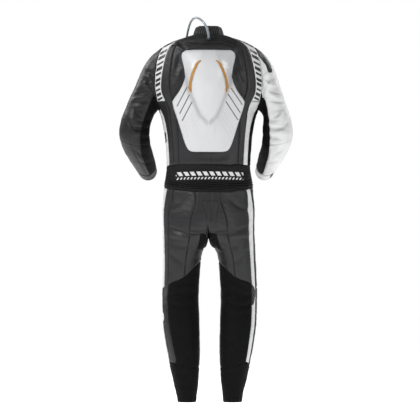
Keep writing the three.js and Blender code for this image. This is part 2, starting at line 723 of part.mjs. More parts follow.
// A closed slab between two heights over a block of the hump's grid
function humpSlab(grid, rowFrom, rowTo, columnFrom, columnTo, low, high) {
  const width = columnTo - columnFrom + 1;
  const rows = grid.slice(rowFrom, rowTo + 1);
  const layer = (offset) => rows.flatMap((row) => row.slice(columnFrom, columnTo + 1).map((cell) => (
    cell.point.clone().addScaledVector(cell.normal, cell.height + offset))));
  const points = [...layer(high), ...layer(low)];
  const count = points.length / 2;
  const faces = [];
  for (let row = 0; row < rows.length - 1; row += 1) {
    for (let column = 0; column < width - 1; column += 1) {
      const a = row * width + column;
      const [b, c, d] = [a + width, a + width + 1, a + 1];
      faces.push(a, b, c, a, c, d, a + count, c + count, b + count, a + count, d + count, c + count);
    }
  }
  const rim = [];
  for (let row = 0; row < rows.length - 1; row += 1) {
    rim.push([row * width, (row + 1) * width]);
    rim.push([(row + 2) * width - 1, (row + 1) * width - 1]);
  }
  for (let column = 0; column < width - 1; column += 1) {
    rim.push([column + 1, column]);
    rim.push([count - width + column, count - width + column + 1]);
  }
  for (const [from, to] of rim) {
    faces.push(to, from, from + count, to, from + count, to + count);
  }
  const geometry = new THREE.BufferGeometry();
  geometry.setAttribute('position', new THREE.Float32BufferAttribute(points.flatMap((p) => p.toArray()), 3));
  geometry.setIndex(faces);
  return geometry;
}

function makeHump() {
  const grid = humpGrid();
  const last = grid[0].length - 1;
  const middle = last / 2;
  const top = SEAM_GAP + HUMP.seat + HUMP.wall;
  addMesh('hump_shell', humpSlab(grid, 0, grid.length - 1, 0, last, SEAM_GAP + HUMP.seat, top), SHELL);
  const low = top + SEAM_GAP;
  const trimBlocks = { left: middle - 3, right: middle + 2 };
  for (const [name, column] of Object.entries(trimBlocks)) {
    const { stripeFrom, stripeTo, stripeThick } = HUMP;
    const geometry = humpSlab(grid, stripeFrom, stripeTo, column, column + 1, low, low + stripeThick);
    addMesh(`hump_trim_${name}`, geometry, OCHRE);
  }
}

// Front zip's slider and pull tab. Their own frame has y standing off the zip and z running up along it.

function solidOf(geometry) {
  const merged = mergeVertices(withPositionOnly(geometry));
  const mesh = new wasm.Mesh({
    numProp: 3,
    vertProperties: new Float32Array(merged.attributes.position.array),
    triVerts: new Uint32Array(merged.index.array),
  });
  return new wasm.Manifold(mesh);
}

function withPositionOnly(geometry) {
  const bare = new THREE.BufferGeometry();
  bare.setAttribute('position', geometry.attributes.position);
  if (geometry.index) {
    bare.setIndex(geometry.index);
  }
  return bare;
}

function geometryOf(solid) {
  const mesh = solid.getMesh();
  const geometry = new THREE.BufferGeometry();
  geometry.setAttribute('position', new THREE.Float32BufferAttribute(mesh.vertProperties, 3));
  geometry.setIndex([...mesh.triVerts]);
  return geometry;
}

function sliderGeometry() {
  const base = new THREE.BoxGeometry(ZIP.sliderWidth, ZIP.sliderBase, ZIP.sliderLength);
  base.translate(0, SEAM_GAP + ZIP.sliderBase / 2, 0);
  const arch = new THREE.Shape();
  arch.absarc(0, 0, ZIP.bridgeRadius, 0, 2 * Math.PI);
  arch.holes.push(new THREE.Path().absarc(0, 0, ZIP.bridgeHole, 0, 2 * Math.PI, true));
  const options = { depth: ZIP.bridgeWidth, bevelEnabled: false, curveSegments: 8 };
  const bridge = new THREE.ExtrudeGeometry(arch, options);
  bridge.translate(0, 0, -ZIP.bridgeWidth / 2).rotateY(Math.PI / 2).translate(0, ZIP.axisHeight, 0);
  return geometryOf(solidOf(base).add(solidOf(bridge)));
}

function pullGeometry() {
  const half = ZIP.pullWidth / 2;
  const bar = ZIP.barSize / 2;
  const low = bar - ZIP.pullLength;
  const round = ZIP.pullRound;
  const outline = new THREE.Shape();
  outline.moveTo(-half, bar);
  outline.lineTo(-half, low + round);
  outline.quadraticCurveTo(-half, low, -half + round, low);
  outline.lineTo(half - round, low);
  outline.quadraticCurveTo(half, low, half, low + round);
  outline.lineTo(half, bar);
  const window = new THREE.Path();
  window.moveTo(-ZIP.windowHalf, -bar);
  window.lineTo(ZIP.windowHalf, -bar);
  window.lineTo(ZIP.windowHalf, -bar - ZIP.windowLength);
  window.lineTo(-ZIP.windowHalf, -bar - ZIP.windowLength);
  outline.holes.push(window);
  const options = { depth: ZIP.pullThick, bevelEnabled: false, curveSegments: 4 };
  const plate = new THREE.ExtrudeGeometry(outline, options);
  return plate.translate(0, 0, -ZIP.pullThick / 2).rotateX(Math.PI / 2).translate(0, ZIP.axisHeight, 0);
}

function makeZip() {
  const grid = grids.right.body;
  const upper = grid[ROW_INDEX.shoulder][COLUMN.front];
  const lower = grid[ROW_INDEX.upper1][COLUMN.front];
  const slope = lower.clone().sub(upper);
  const frame = new THREE.Group();
  frame.position.copy(upper).lerp(lower, 0.5);
  frame.rotation.x = Math.atan2(slope.y, -slope.z);
  suit.add(frame);
  addMesh('zip_slider', sliderGeometry(), ZIP_METAL, frame);
  addMesh('zip_pull', pullGeometry(), ZIP_METAL, frame);
}

// Hydration hose with its exit and bite valve

function makeHose() {
  const grid = grids.right.body;
  const upper = grid[ROW_INDEX.neckSlope][COLUMN.back];
  const lower = grid[ROW_INDEX.yokeEdge][COLUMN.back];
  const slope = lower.clone().sub(upper).normalize();
  const outwards = new THREE.Vector3(0, slope.z, -slope.y);
  const up = new THREE.Vector3(0, 1, 0);
  const { radius: exitRadius, length: exitLength, taper } = HOSE_EXIT;
  const exit = new THREE.CylinderGeometry(exitRadius - taper, exitRadius, exitLength, 16);
  const exitMesh = addMesh('hose_exit', exit, HARD_PLASTIC);
  exitMesh.position.copy(upper).lerp(lower, 0.5).addScaledVector(outwards, SEAM_GAP + exitLength / 2);
  exitMesh.quaternion.setFromUnitVectors(up, outwards);

  const route = new THREE.CatmullRomCurve3(HOSE_ROUTE.map((point) => new THREE.Vector3(...point)));
  const section = new THREE.Shape();
  for (let side = 0; side < HOSE.sides; side += 1) {
    const turn = (2 * Math.PI * side) / HOSE.sides;
    const method = side === 0 ? 'moveTo' : 'lineTo';
    section[method](HOSE.radius * Math.cos(turn), HOSE.radius * Math.sin(turn));
  }
  const tube = new THREE.ExtrudeGeometry(section, { steps: HOSE.steps, extrudePath: route });
  addMesh('hydration_hose', tube, HOSE_CLEAR);

  const { radius, length } = BITE_VALVE;
  const outline = [[0, 0], [radius * 0.8, 0], [radius, length * 0.12], [radius, length * 0.5],
    [radius * 0.7, length * 0.6], [radius * 0.6, length * 0.85], [radius * 0.75, length], [0, length]];
  const valve = new THREE.LatheGeometry(outline.map(([r, y]) => new THREE.Vector2(r, y)), 12);
  const valveMesh = addMesh('bite_valve', valve, HARD_PLASTIC);
  const direction = route.getTangent(1);
  valveMesh.position.copy(route.getPoint(1)).addScaledVector(direction, SEAM_GAP);
  valveMesh.quaternion.setFromUnitVectors(up, direction);
}

makeUpperBody();
makeLegs();
makeSleeves();
raiseLumbarGathers();
pool.normals.forEach((normal) => normal.normalize());
for (const { name, look, cells } of panels) {
  const thickness = look === STRETCH || look === KNIT ? STRETCH_THICK : LEATHER_THICK;
  const raiseOf = GATHERED_PANELS.includes(name) ? raiseAt : () => 0;
  addMesh(name, slabGeometry(cells, thickness, raiseOf), look);
}
makeHump();
makeZip();
makeHose();

export default suit;
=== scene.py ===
"""Motorcycle race suit: its leather, stretch cloth, hump, hose and zip, on a studio stage.

X is the wearer's right, Y the wearer's front and Z up, in metres, with the origin in the neck opening.
"""
import json
import math

import bmesh
import bpy
import numpy as np
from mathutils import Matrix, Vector
from mathutils.bvhtree import BVHTree
from mathutils.kdtree import KDTree

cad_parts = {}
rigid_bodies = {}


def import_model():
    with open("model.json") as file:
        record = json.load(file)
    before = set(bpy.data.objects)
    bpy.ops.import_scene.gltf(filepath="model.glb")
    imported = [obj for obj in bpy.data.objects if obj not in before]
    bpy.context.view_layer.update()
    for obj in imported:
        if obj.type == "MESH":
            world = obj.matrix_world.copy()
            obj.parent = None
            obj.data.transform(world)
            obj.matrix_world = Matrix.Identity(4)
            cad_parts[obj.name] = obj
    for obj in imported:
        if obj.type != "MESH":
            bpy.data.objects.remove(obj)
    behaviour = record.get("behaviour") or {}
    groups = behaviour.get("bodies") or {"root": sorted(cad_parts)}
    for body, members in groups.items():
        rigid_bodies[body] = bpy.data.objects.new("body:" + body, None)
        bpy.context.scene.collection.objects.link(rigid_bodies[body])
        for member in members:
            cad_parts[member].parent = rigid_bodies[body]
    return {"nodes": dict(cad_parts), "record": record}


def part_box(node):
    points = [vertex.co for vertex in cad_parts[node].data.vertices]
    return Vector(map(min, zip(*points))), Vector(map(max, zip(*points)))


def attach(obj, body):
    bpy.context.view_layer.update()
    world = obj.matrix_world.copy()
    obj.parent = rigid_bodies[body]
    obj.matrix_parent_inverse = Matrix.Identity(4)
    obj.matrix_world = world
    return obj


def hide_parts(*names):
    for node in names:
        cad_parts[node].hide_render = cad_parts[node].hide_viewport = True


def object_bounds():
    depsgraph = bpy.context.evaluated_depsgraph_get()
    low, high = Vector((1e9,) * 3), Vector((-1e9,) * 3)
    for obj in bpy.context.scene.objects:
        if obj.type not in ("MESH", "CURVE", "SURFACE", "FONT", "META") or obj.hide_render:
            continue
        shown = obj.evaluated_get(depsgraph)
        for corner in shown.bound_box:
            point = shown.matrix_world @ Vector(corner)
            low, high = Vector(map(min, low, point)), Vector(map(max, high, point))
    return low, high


bl_info = {
    "name": "Race Suit",
    "version": (1, 0, 0),
    "blender": (4, 5, 0),
    "location": "View3D > Sidebar > Race Suit",
    "description": "Dresses a motorcycle race suit in leather, stretch cloth and trims",
    "category": "Object",
}

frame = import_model()
CAD_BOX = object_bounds()
BODY = "suit"
SLOTS = {part["node"]: part["material_slot"] for part in frame["record"]["subparts"]}
HARD_NODES = {"hump_shell", "hump_trim_left", "hump_trim_right", "zip_slider", "zip_pull", "hose_exit",
              "hydration_hose", "bite_valve", "collar"}
CLOTH_NODES = sorted(name for name in frame["nodes"] if name not in HARD_NODES)
MM = 0.001

# How high the slices are in which the middle of each limb is found, in metres
SLICE = 0.03

# The lengths between which an edge of the CAD cloth crosses its wall, in metres
WALL_EDGES = (0.0019, 0.0034)

# The share of its flat rectangle that a panel fills, and the least share
PANEL_FILL, LEAST_FILL = 0.86, 0.31

# The camera stands this far behind the suit and sees this width at the origin
CAMERA_DISTANCE = 16.0
VIEW_WIDTH = 1.575

# The folds of the cloth: the side that a fold is seen from, whether its mirror image is there too, its
# width, its depth (negative for a trough, positive for a ridge) and the points it runs through, as x and z
# from behind. All lengths are in millimetres.
FOLDS = [
    # Upper back, beside and above the hump
    ("back", True, 7, -3.0, (30, -30), (62, -34), (92, -44)),
    ("back", True, 6, 2.2, (26, -38), (66, -44), (98, -56)),
    ("back", True, 6, -2.4, (86, -20), (104, -34), (122, -60)),
    ("back", True, 8, -2.0, (112, -80), (124, -130), (122, -180)),
    ("back", False, 5, -2.4, (-90, -24), (0, -27), (92, -22)),
    ("back", False, 4, 1.6, (-84, -33), (0, -36), (88, -31)),
    ("back", False, 4, -2.0, (-96, -42), (0, -43), (98, -40)),
    ("back", True, 6, -2.4, (96, -64), (112, -100), (96, -140)),
    ("back", True, 6, 2.0, (112, -70), (128, -120), (112, -172)),
    ("back", True, 5, -3.0, (80, -58), (100, -36), (112, -22)),
    ("back", True, 5, 2.6, (90, -62), (112, -44), (124, -30)),
    ("back", True, 6, -3.0, (104, -180), (120, -214), (136, -234)),
    ("back", True, 6, 2.4, (100, -120), (116, -160), (134, -196)),
    # Shoulders
    ("back", True, 8, -3.2, (268, -165), (236, -168), (212, -202)),
    ("back", True, 8, 2.6, (262, -182), (232, -190), (206, -232)),
    ("back", True, 7, -2.6, (246, -140), (222, -136), (206, -158)),
    # Beside the hump's foot and down to the waist
    ("back", True, 9, -2.6, (134, -270), (118, -330), (110, -390)),
    ("back", True, 8, 1.8, (150, -300), (134, -352), (128, -420)),
    ("back", False, 7, -2.2, (84, -448), (30, -460), (-40, -457)),
    ("back", False, 7, 1.8, (110, -462), (40, -472), (-88, -468)),
    # Upper sleeves
    ("back", True, 5, -4.4, (262, -181), (234, -177), (210, -163)),
    ("back", True, 5, 3.4, (268, -195), (240, -188), (212, -180)),
    ("back", True, 5, -4.2, (284, -228), (250, -216), (211, -207)),
    ("back", True, 5, 3.0, (286, -238), (252, -230), (214, -222)),
    ("back", True, 5, -4.0, (290, -252), (254, -250), (216, -244)),
    ("back", True, 5, -4.4, (276, -280), (262, -300), (238, -309)),
    ("back", True, 5, 3.2, (296, -300), (276, -322), (244, -330)),
    ("back", True, 5, -4.2, (300, -322), (276, -346), (246, -352)),
    # Elbows
    ("back", True, 7, -4.0, (216, -310), (238, -322), (272, -318)),
    ("back", True, 7, 3.4, (218, -326), (246, -338), (288, -334)),
    ("back", True, 7, -4.4, (216, -343), (246, -354), (294, -346)),
    ("back", True, 7, 3.2, (216, -360), (244, -370), (286, -366)),
    ("back", True, 7, -3.8, (216, -378), (240, -388), (276, -388)),
    ("back", True, 6, -2.6, (212, -404), (236, -412), (262, -410)),
    ("back", True, 6, -2.6, (290, -270), (262, -282), (238, -280)),
    ("back", True, 6, -2.2, (282, -420), (262, -440), (236, -448)),
    ("back", True, 6, -2.2, (262, -466), (240, -476), (206, -472)),
    # Seat and thighs
    ("back", True, 9, -2.4, (84, -612), (112, -640), (150, -652)),
    ("back", True, 9, -2.6, (60, -742), (104, -732), (160, -712)),
    ("back", True, 8, 2.2, (56, -758), (104, -752), (164, -740)),
    ("back", True, 9, -2.2, (42, -780), (84, -790), (130, -782)),
    ("back", True, 9, -2.0, (150, -800), (120, -836), (84, -850)),
    ("back", False, 7, -2.6, (-78, -722), (-30, -732), (4, -734)),
    ("back", False, 7, -2.6, (84, -720), (40, -731), (4, -734)),
    # Backs of the knees and calves
    ("back", True, 8, -3.4, (58, -926), (104, -934), (152, -950)),
    ("back", True, 8, -4.2, (50, -964), (104, -976), (160, -968)),
    ("back", True, 8, 3.0, (52, -984), (104, -998), (158, -990)),
    ("back", True, 8, -4.0, (56, -1008), (106, -1018), (160, -1004)),
    ("back", True, 8, -2.6, (66, -1046), (108, -1050), (150, -1038)),
    ("back", True, 10, -2.4, (72, -1110), (92, -1150), (124, -1172)),
    ("back", True, 9, -2.4, (58, -1190), (88, -1222), (128, -1232)),
    ("back", True, 7, -2.6, (60, -1262), (88, -1270), (118, -1264)),
    ("back", True, 7, -2.2, (60, -1302), (86, -1310), (112, -1304)),
    # The wearer's front
    ("front", True, 9, -3.0, (30, -520), (80, -512), (150, -522)),
    ("front", True, 9, -3.0, (24, -560), (86, -556), (150, -570)),
    ("front", True, 9, -3.0, (22, -640), (70, -662), (130, -668)),
    ("front", True, 9, -3.0, (30, -712), (76, -704), (130, -690)),
    ("front", True, 9, 2.4, (24, -600), (80, -604), (150, -618)),
    ("front", True, 10, -2.4, (190, -110), (160, -160), (150, -230)),
    ("front", True, 8, -4.0, (214, -350), (244, -358), (290, -340)),
    ("front", True, 8, -4.0, (212, -388), (240, -394), (286, -378)),
    ("front", True, 10, -2.6, (60, -850), (110, -862), (160, -852)),
    ("front", True, 9, -2.6, (60, -1030), (106, -1040), (156, -1028)),
]

# Joins between panels that don't show
FLAT_SEAMS = [
    ("sleeve_right", "forearm_right"), ("sleeve_left", "forearm_left"),
    ("knee_back_right", "ankle_cuff_right"), ("knee_back_left", "ankle_cuff_left"),
]

# Lines of the cloth that slide over its surface: whether the mirror image slides too, how far beside the
# line the cloth comes along, and its points, each with x, z and how far it goes along x and z.
SLIDES = [
    (False, 26, (138, -562, 9, 0), (138, -652, 13, 0), (143, -680, 9, 0), (150, -750, 5, 0),
     (156, -844, 4, 0), (159, -919, 5, 0)),
    (True, 75, (32, -849, 0, 0), (51, -860, 0, -9), (70, -872, 0, -17), (90, -884, 0, -20),
     (110, -897, 0, -17), (130, -910, 0, -10), (148, -921, 0, -4)),
    (True, 24, (204, -210, -4, 0), (212, -240, -10, 0), (234, -322, -8, 0), (237, -418, -12, 0),
     (224, -466, -7, 0), (204, -510, 0, 0)),
    (True, 50, (60, -1243, 0, 0), (110, -1243, 0, 10), (139, -1243, 0, 22), (154, -1243, 0, 10)),
    (True, 34, (44, -745, -11, 0), (51, -801, -18, 0)),
    (False, 40, (-152, -1059, 4, 0), (-142, -1131, 13, 0), (-131, -1215, 18, 0), (-120, -1240, 10, 0)),
]

# Seams sewn across a panel, in the same view
SEAM_LINES = {
    "seat_centre": [
        [(-22.6, -617), (37.2, -617)],
        [(8.5, -585), (8.5, -724)],
        [(-22.6, -617), (-9.4, -671), (-1.9, -730)],
        [(37.2, -617), (28, -682), (17, -730)],
    ],
    "back_centre": [[(8.5, -439), (8.5, -491)]],
    "yoke_back": [[(-84, -42), (-40, -22), (0, -20), (60, -20), (96, -34)]],
    "sleeve_left": [[(-290, -356), (-287, -409), (-272, -446), (-252, -482), (-227, -521)]],
    "forearm_left": [[(-290, -356), (-287, -409), (-272, -446), (-252, -482), (-227, -521)]],
}

# Plain patches of a second colour on panels: how far each reaches out from its line, and the line
MARKS = {
    "sleeve_right": [(9, [(164, -36), (193, -68), (222, -106), (230, -130)])],
    "side_panel_left": [(5, [(-164, -366), (-161, -396)])],
    "leg_stripe_right": [(8, [(158, -936), (167, -962), (161, -1000)])],
    "cuff_right": [(5, [(240, -514), (237, -530)])],
    "calf_side_left": [(6, [(-173, -1042), (-172, -1062)])],
}

# The dark slots on the hump, each from end to end
HUMP_SLOTS = [
    [(-80.6, -196.9), (-116.3, -264.4)],
    [(-71.3, -225.0), (-106.9, -292.5)],
    [(-61.9, -251.3), (-97.5, -318.8)],
    [(84.4, -198.8), (125.6, -258.8)],
    [(73.1, -221.3), (118.1, -288.8)],
    [(65.6, -249.4), (108.8, -315.0)],
]

# The edge of the raised part of the hump, on one side, down to its point
HUMP_RIDGE = [(88, -150), (72, -199), (58, -229), (43, -266), (28, -300), (3, -326)]

# Faint lines pressed into the hump under the slots, on both sides
HUMP_LINES = [[(52, -280), (98, -354)], [(44, -292), (92, -370)], [(36, -306), (84, -384)]]

# Corners of the hump's outline that stay sharp, how far its top edge drops, and the shell's thickness
HUMP_CORNERS = [(-88, -152), (88, -152), (-136, -248), (136, -248)]
HUMP_DROP = 6
HUMP_WALL = 2.4

# How much wider and lower the trims are than their CAD nodes, and how far their top ends move inwards
TRIM_WIDENING, TRIM_HEIGHT, TRIM_INWARD = 1.7, 0.9, 1.2

# The pitch of the zip's teeth on one side
TOOTH_PITCH = 3.6

# The top and foot of the gathers on the lumbar band
LUMBAR_TOP, LUMBAR_FOOT = -538, -582

# The neck opening: the y of its middle, the level of its edge behind, its drop to the front and the height
# of the collar
NECK = {"middle": -5, "level": 6, "drop": 46, "height": 32}

# The drinking hose, from its exit over the left shoulder to the bite valve on the wearer's front. Each point
# has x, y and z, and the steps are those between two points.
HOSE_POINTS = [
    (0, -88.5, -9.1), (0, -93.8, -4.5), (-1, -99.5, 5), (-5, -102.9, 22.5), (-13, -99, 40),
    (-25, -88, 54.5), (-38, -71, 63.5), (-50, -51, 66), (-60, -33, 61), (-68, -15, 49), (-74, 2, 32),
    (-79, 19, 12), (-83, 36, -10), (-86, 52, -32), (-88, 68, -53), (-89, 83, -74), (-89, 97.5, -103),
    (-89, 106.5, -139), (-88, 112, -176),
]
HOSE_DIAMETER = 8.4
HOSE_STEPS = 8


class SuitSettings(bpy.types.PropertyGroup):
    """Sizes and colours of the suit."""

    fold_strength: bpy.props.FloatProperty(
        name="Folds", description="How deep the folds of the cloth are", default=1.6, min=0.0, max=2.0)
    seam_depth: bpy.props.FloatProperty(
        name="Seam Depth", description="How deep the seams sink", default=0.0011, unit="LENGTH")
    cloth_thickness: bpy.props.FloatProperty(
        name="Cloth Thickness", description="Thickness of the leather and stretch cloth", default=0.0022,
        unit="LENGTH")
    smoothing: bpy.props.IntProperty(
        name="Smoothing", description="Subdivision levels of the cloth", default=3, min=1, max=3)
    black_leather: bpy.props.FloatVectorProperty(
        name="Black Leather", description="Colour of the dark leather", subtype="COLOR",
        default=(0.014, 0.014, 0.015))
    white_leather: bpy.props.FloatVectorProperty(
        name="White Leather", description="Colour of the light leather", subtype="COLOR",
        default=(0.55, 0.55, 0.55))
    black_stretch: bpy.props.FloatVectorProperty(
        name="Black Stretch", description="Colour of the stretch cloth", subtype="COLOR",
        default=(0.0026, 0.0026, 0.0028))
    trim: bpy.props.FloatVectorProperty(
        name="Trim", description="Colour of the curved trims on the hump", subtype="COLOR",
        default=(0.36, 0.17, 0.03))
    hose: bpy.props.FloatVectorProperty(
        name="Hose", description="Colour of the drinking hose", subtype="COLOR", default=(0.30, 0.33, 0.36))
    floor: bpy.props.FloatVectorProperty(
        name="Floor", description="Colour of the stage", subtype="COLOR", default=(0.86, 0.86, 0.86))


def settings():
    return bpy.context.scene.race_suit


# Shader nodes


class Value:
    """A shader socket that can be added, multiplied and compared as a number."""

    def __init__(self, shader, socket):
        self.shader = shader
        self.socket = socket

    def math(self, operation, other=0.0):
        return self.shader.node("ShaderNodeMath", {"operation": operation}, [self, other])

    def __add__(self, other):
        return self.math("ADD", other)

    def __sub__(self, other):
        return self.math("SUBTRACT", other)

    def __mul__(self, other):
        return self.math("MULTIPLY", other)

    def __truediv__(self, other):
        return self.math("DIVIDE", other)

    def __radd__(self, other):
        return self.math("ADD", other)

    def __rmul__(self, other):
        return self.math("MULTIPLY", other)

    def __rsub__(self, other):
        return self.shader.node("ShaderNodeMath", {"operation": "SUBTRACT"}, [other, self])

    def __lt__(self, other):
        return self.math("LESS_THAN", other)

    def __gt__(self, other):
        return self.math("GREATER_THAN", other)

    def capsule(self, across, start, end):
        """How far a point, with this as x and across as z, lies from a line between two points."""
        run = [(stop - begin) for begin, stop in zip(start, end)]
        length = math.hypot(*run)
        way = [part / length for part in run]
        x, z = self - (start[0] + end[0]) / 2, across - (start[1] + end[1]) / 2
        beside = (x * way[1] - z * way[0]).math("ABSOLUTE")
        beyond = ((x * way[0] + z * way[1]).math("ABSOLUTE") - length / 2).math("MAXIMUM", 0.0)
        return (beside * beside + beyond * beyond).math("SQRT")

    def near(self, centre, reach):
        """1 at the centre, falling to 0 at that reach."""
        distance = (self - centre).math("ABSOLUTE")
        return self.shader.ramp(distance, reach, 0.0)

    def wave(self, length):
        """A sine wave of that length, from 0 to 1."""
        return (self * (2 * math.pi / length)).math("SINE") * 0.5 + 0.5


class Shader:
    """A material's node tree, built one node at a time."""

    def __init__(self, name):
        self.material = bpy.data.materials.new(name)
        self.material.use_nodes = True
        self.tree = self.material.node_tree
        self.surface = next(node for node in self.tree.nodes if node.type == "BSDF_PRINCIPLED")

    def put(self, target, given):
        if isinstance(given, Value):
            self.tree.links.new(given.socket, target)
        elif given is not None:
            target.default_value = given

    def node(self, kind, options, inputs, output=0):
        made = self.tree.nodes.new(kind)
        for name, setting in options.items():
            setattr(made, name, setting)
        pairs = inputs.items() if isinstance(inputs, dict) else enumerate(inputs)
        for key, given in pairs:
            self.put(made.inputs[key], given)
        return Value(self, made.outputs[output])

    def place(self):
        return self.node("ShaderNodeTexCoord", {}, [], "Object")

    def axis(self, letter):
        """The piece's own coordinate in millimetres."""
        split = self.node("ShaderNodeSeparateXYZ", {}, [self.place()], letter)
        return split / MM

    def attribute(self, name):
        return self.node("ShaderNodeAttribute", {"attribute_name": name}, [], "Fac") / MM

    def noise(self, size, detail=3.0, stretch=(1, 1, 1)):
        """Soft random cloud whose patches are about that many millimetres."""
        spread = self.node("ShaderNodeMapping", {}, {"Vector": self.place(), "Scale": stretch})
        sockets = {"Vector": spread, "Scale": 1 / (size * MM), "Detail": detail}
        return self.node("ShaderNodeTexNoise", {}, sockets)

    def cells(self, size):
        return self.node("ShaderNodeTexVoronoi", {}, {"Vector": self.place(), "Scale": 1 / (size * MM)})

    def ramp(self, value, low, high):
        """0 at low and 1 at high, smoothed between. Low may be the larger of the two."""
        sockets = {"Value": value, "From Min": low, "From Max": high}
        return self.node("ShaderNodeMapRange", {"interpolation_type": "SMOOTHSTEP"}, sockets)

    def mix(self, factor, first, second):
        sockets = {0: factor, 6: colour(first), 7: colour(second)}
        return self.node("ShaderNodeMix", {"data_type": "RGBA"}, sockets, 2)

    def bump(self, height, millimetres, below=None):
        sockets = {"Height": height, "Distance": millimetres * MM, "Strength": 1.0, "Normal": below}
        return self.node("ShaderNodeBump", {}, sockets)

    def finish(self, **inputs):
        for name, given in inputs.items():
            self.put(self.surface.inputs[name.replace("_", " ").title().replace("Ior", "IOR")], given)
        return self.material


def colour(given):
    """A colour as a socket takes it, with alpha."""
    if isinstance(given, Value):
        return given
    return (*given, 1.0)


def tint(given, factor):
    return tuple(part * factor for part in given)


# Materials


def leather_material(name, base, seam_colour, mark_colour):
    """Grained leather with a sunken seam and a row of stitches beside it, marks in a second colour, painted
    shade in the troughs of its folds and painted highlights on their ridges.
    """
    shader = Shader(name)
    seam = shader.attribute("seam")
    along = shader.attribute("along")
    mark = shader.attribute("mark")
    for line in SEAM_LINES.get(name, []):
        for start, end in zip(line, line[1:]):
            seam = seam.math("MINIMUM", shader.axis("X").capsule(shader.axis("Z"), start, end) * 0.5)
    cloud = shader.noise(38, 4.0)
    grain = shader.cells(1.3)
    pores = shader.noise(2.2, 2.0)
    wrinkle = shader.noise(16, 5.0, (1, 1, 2.4))
    dashes = shader.ramp(along.wave(3.4), 0.25, 0.45)
    thread = seam.near(4.2, 0.55) * dashes
    groove = seam.near(0.0, 1.6)
    fold = shader.attribute("fold")
    shade = shader.mix(cloud, tint(base, 0.84), tint(base, 1.16))
    # Painted shade in the fold troughs and painted highlights on the fold ridges, much stronger on the dark
    # leather than on the white.
    trough, ridge = (0.6, 1.1) if base[0] > 0.3 else (0.2, 2.2)
    shade = shader.mix(shader.ramp(fold, -0.8, -5.0) * 0.5, shade, tint(base, trough))
    shade = shader.mix(shader.ramp(fold, 0.8, 5.0) * 0.5, shade, tint(base, ridge))
    shade = shader.mix(mark < 0.0, shade, mark_colour)
    shade = shader.mix(mark.near(0.0, 0.6) * 0.7, shade, seam_colour)
    shade = shader.mix(thread * 0.8, shade, seam_colour)
    shade = shader.mix(groove * 0.85, shade, seam_colour)
    height = grain * 0.25 + pores * 0.35 + thread * 1.2 - seam.near(4.2, 1.2) * 0.8
    normal = shader.bump(wrinkle, 1.1)
    normal = shader.bump(height, 0.28, normal)
    roughness = cloud * 0.16 + pores * 0.12 + 0.34
    return shader.finish(base_color=shade, roughness=roughness, normal=normal, specular_ior_level=0.3)


def stretch_material(name, base, pitch):
    """Stretch cloth: fine cross ribs that wander a little, matt, with stitches along its seams, and painted
    light and shade on the ribs.
    """
    shader = Shader(name)
    seam = shader.attribute("seam")
    along = shader.attribute("along")
    warp = shader.noise(30, 2.0)
    ribs = (shader.axis("Z") + warp * 5).wave(pitch)
    yarn = shader.noise(0.9, 2.0)
    cloud = shader.noise(45, 3.0)
    dashes = shader.ramp(along.wave(3.0), 0.25, 0.45)
    thread = seam.near(3.6, 0.5) * dashes
    # The ribs are painted lighter on their crests and darker in their hollows, as painted highlight and
    # shade; the cloud mixed in is the cloth's own uneven tone.
    shade = shader.mix(ribs * 0.55 + cloud * 0.45, tint(base, 0.65), tint(base, 1.6))
    shade = shader.mix(thread * 0.6, shade, tint(base, 4.5))
    shade = shader.mix(seam.near(0.0, 1.4) * 0.8, shade, tint(base, 0.3))
    normal = shader.bump(ribs, 0.5)
    normal = shader.bump(yarn + thread, 0.22, normal)
    roughness = yarn * 0.12 + cloud * 0.1 + 0.62
    return shader.finish(base_color=shade, roughness=roughness, normal=normal, specular_ior_level=0.09)


def lumbar_material(name, base, pale):
    """The gathered band across the lower back, with two rows of pale slanting blocks above its gathers, and
    painted light and shade on its ribs.
    """
    shader = Shader(name)
    x = shader.axis("X")
    z = shader.axis("Z")
    facing = shader.axis("Y") < 20.0
    level = z + x * x * 0.0002
    block = ((x + level * 0.6) / 24.0).math("FRACT")
    upper = (block > 0.36) * ((level + 516).math("ABSOLUTE") < 7.5)
    lower = (((x - level * 0.6) / 13.0).math("FRACT") > 0.55) * ((level + 533).math("ABSOLUTE") < 4.0)
    inside = (x - 4).math("ABSOLUTE") < 126.0
    motif = (upper + lower).math("MINIMUM", 1.0) * inside * facing
    ribs = (level + shader.noise(24, 2.0) * 4).wave(2.6)
    yarn = shader.noise(0.9, 2.0)
    seam = shader.attribute("seam")
    # Painted highlights on the rib crests and painted shade in the rib hollows.
    shade = shader.mix(ribs, tint(base, 0.7), tint(base, 1.7))
    shade = shader.mix(motif, shade, pale)
    shade = shader.mix(seam.near(0.0, 1.5) * 0.8, shade, tint(base, 0.3))
    normal = shader.bump(ribs * 0.6 + yarn * 0.4, 0.4)
    normal = shader.bump(motif, 0.3, normal)
    return shader.finish(base_color=shade, roughness=yarn * 0.12 + 0.6, normal=normal,
                         specular_ior_level=0.2)


def strip_material(name, base, bar):
    """The pale strip over a shoulder, with dark bars of uneven length across it."""
    shader = Shader(name)
    z = shader.axis("Z")
    seam = shader.attribute("seam")
    back = shader.axis("Y") < 0.0
    slant = z + shader.axis("X").math("ABSOLUTE") * 0.5
    bars = slant.wave(19.0) * 0.65 + slant.wave(47.0) * 0.35
    core = shader.ramp(seam, 4.0, 4.6)
    motif = (bars > 0.47) * core * back
    pores = shader.noise(2.2, 2.0)
    cloud = shader.noise(38, 3.0)
    shade = shader.mix(cloud, tint(base, 0.9), tint(base, 1.1))
    shade = shader.mix(motif, shade, bar)
    shade = shader.mix(seam.near(0.0, 2.0) * 0.9, shade, tint(bar, 0.6))
    normal = shader.bump(pores * 0.5 + shader.cells(1.3) * 0.3, 0.25)
    return shader.finish(base_color=shade, roughness=pores * 0.16 + 0.36, normal=normal)


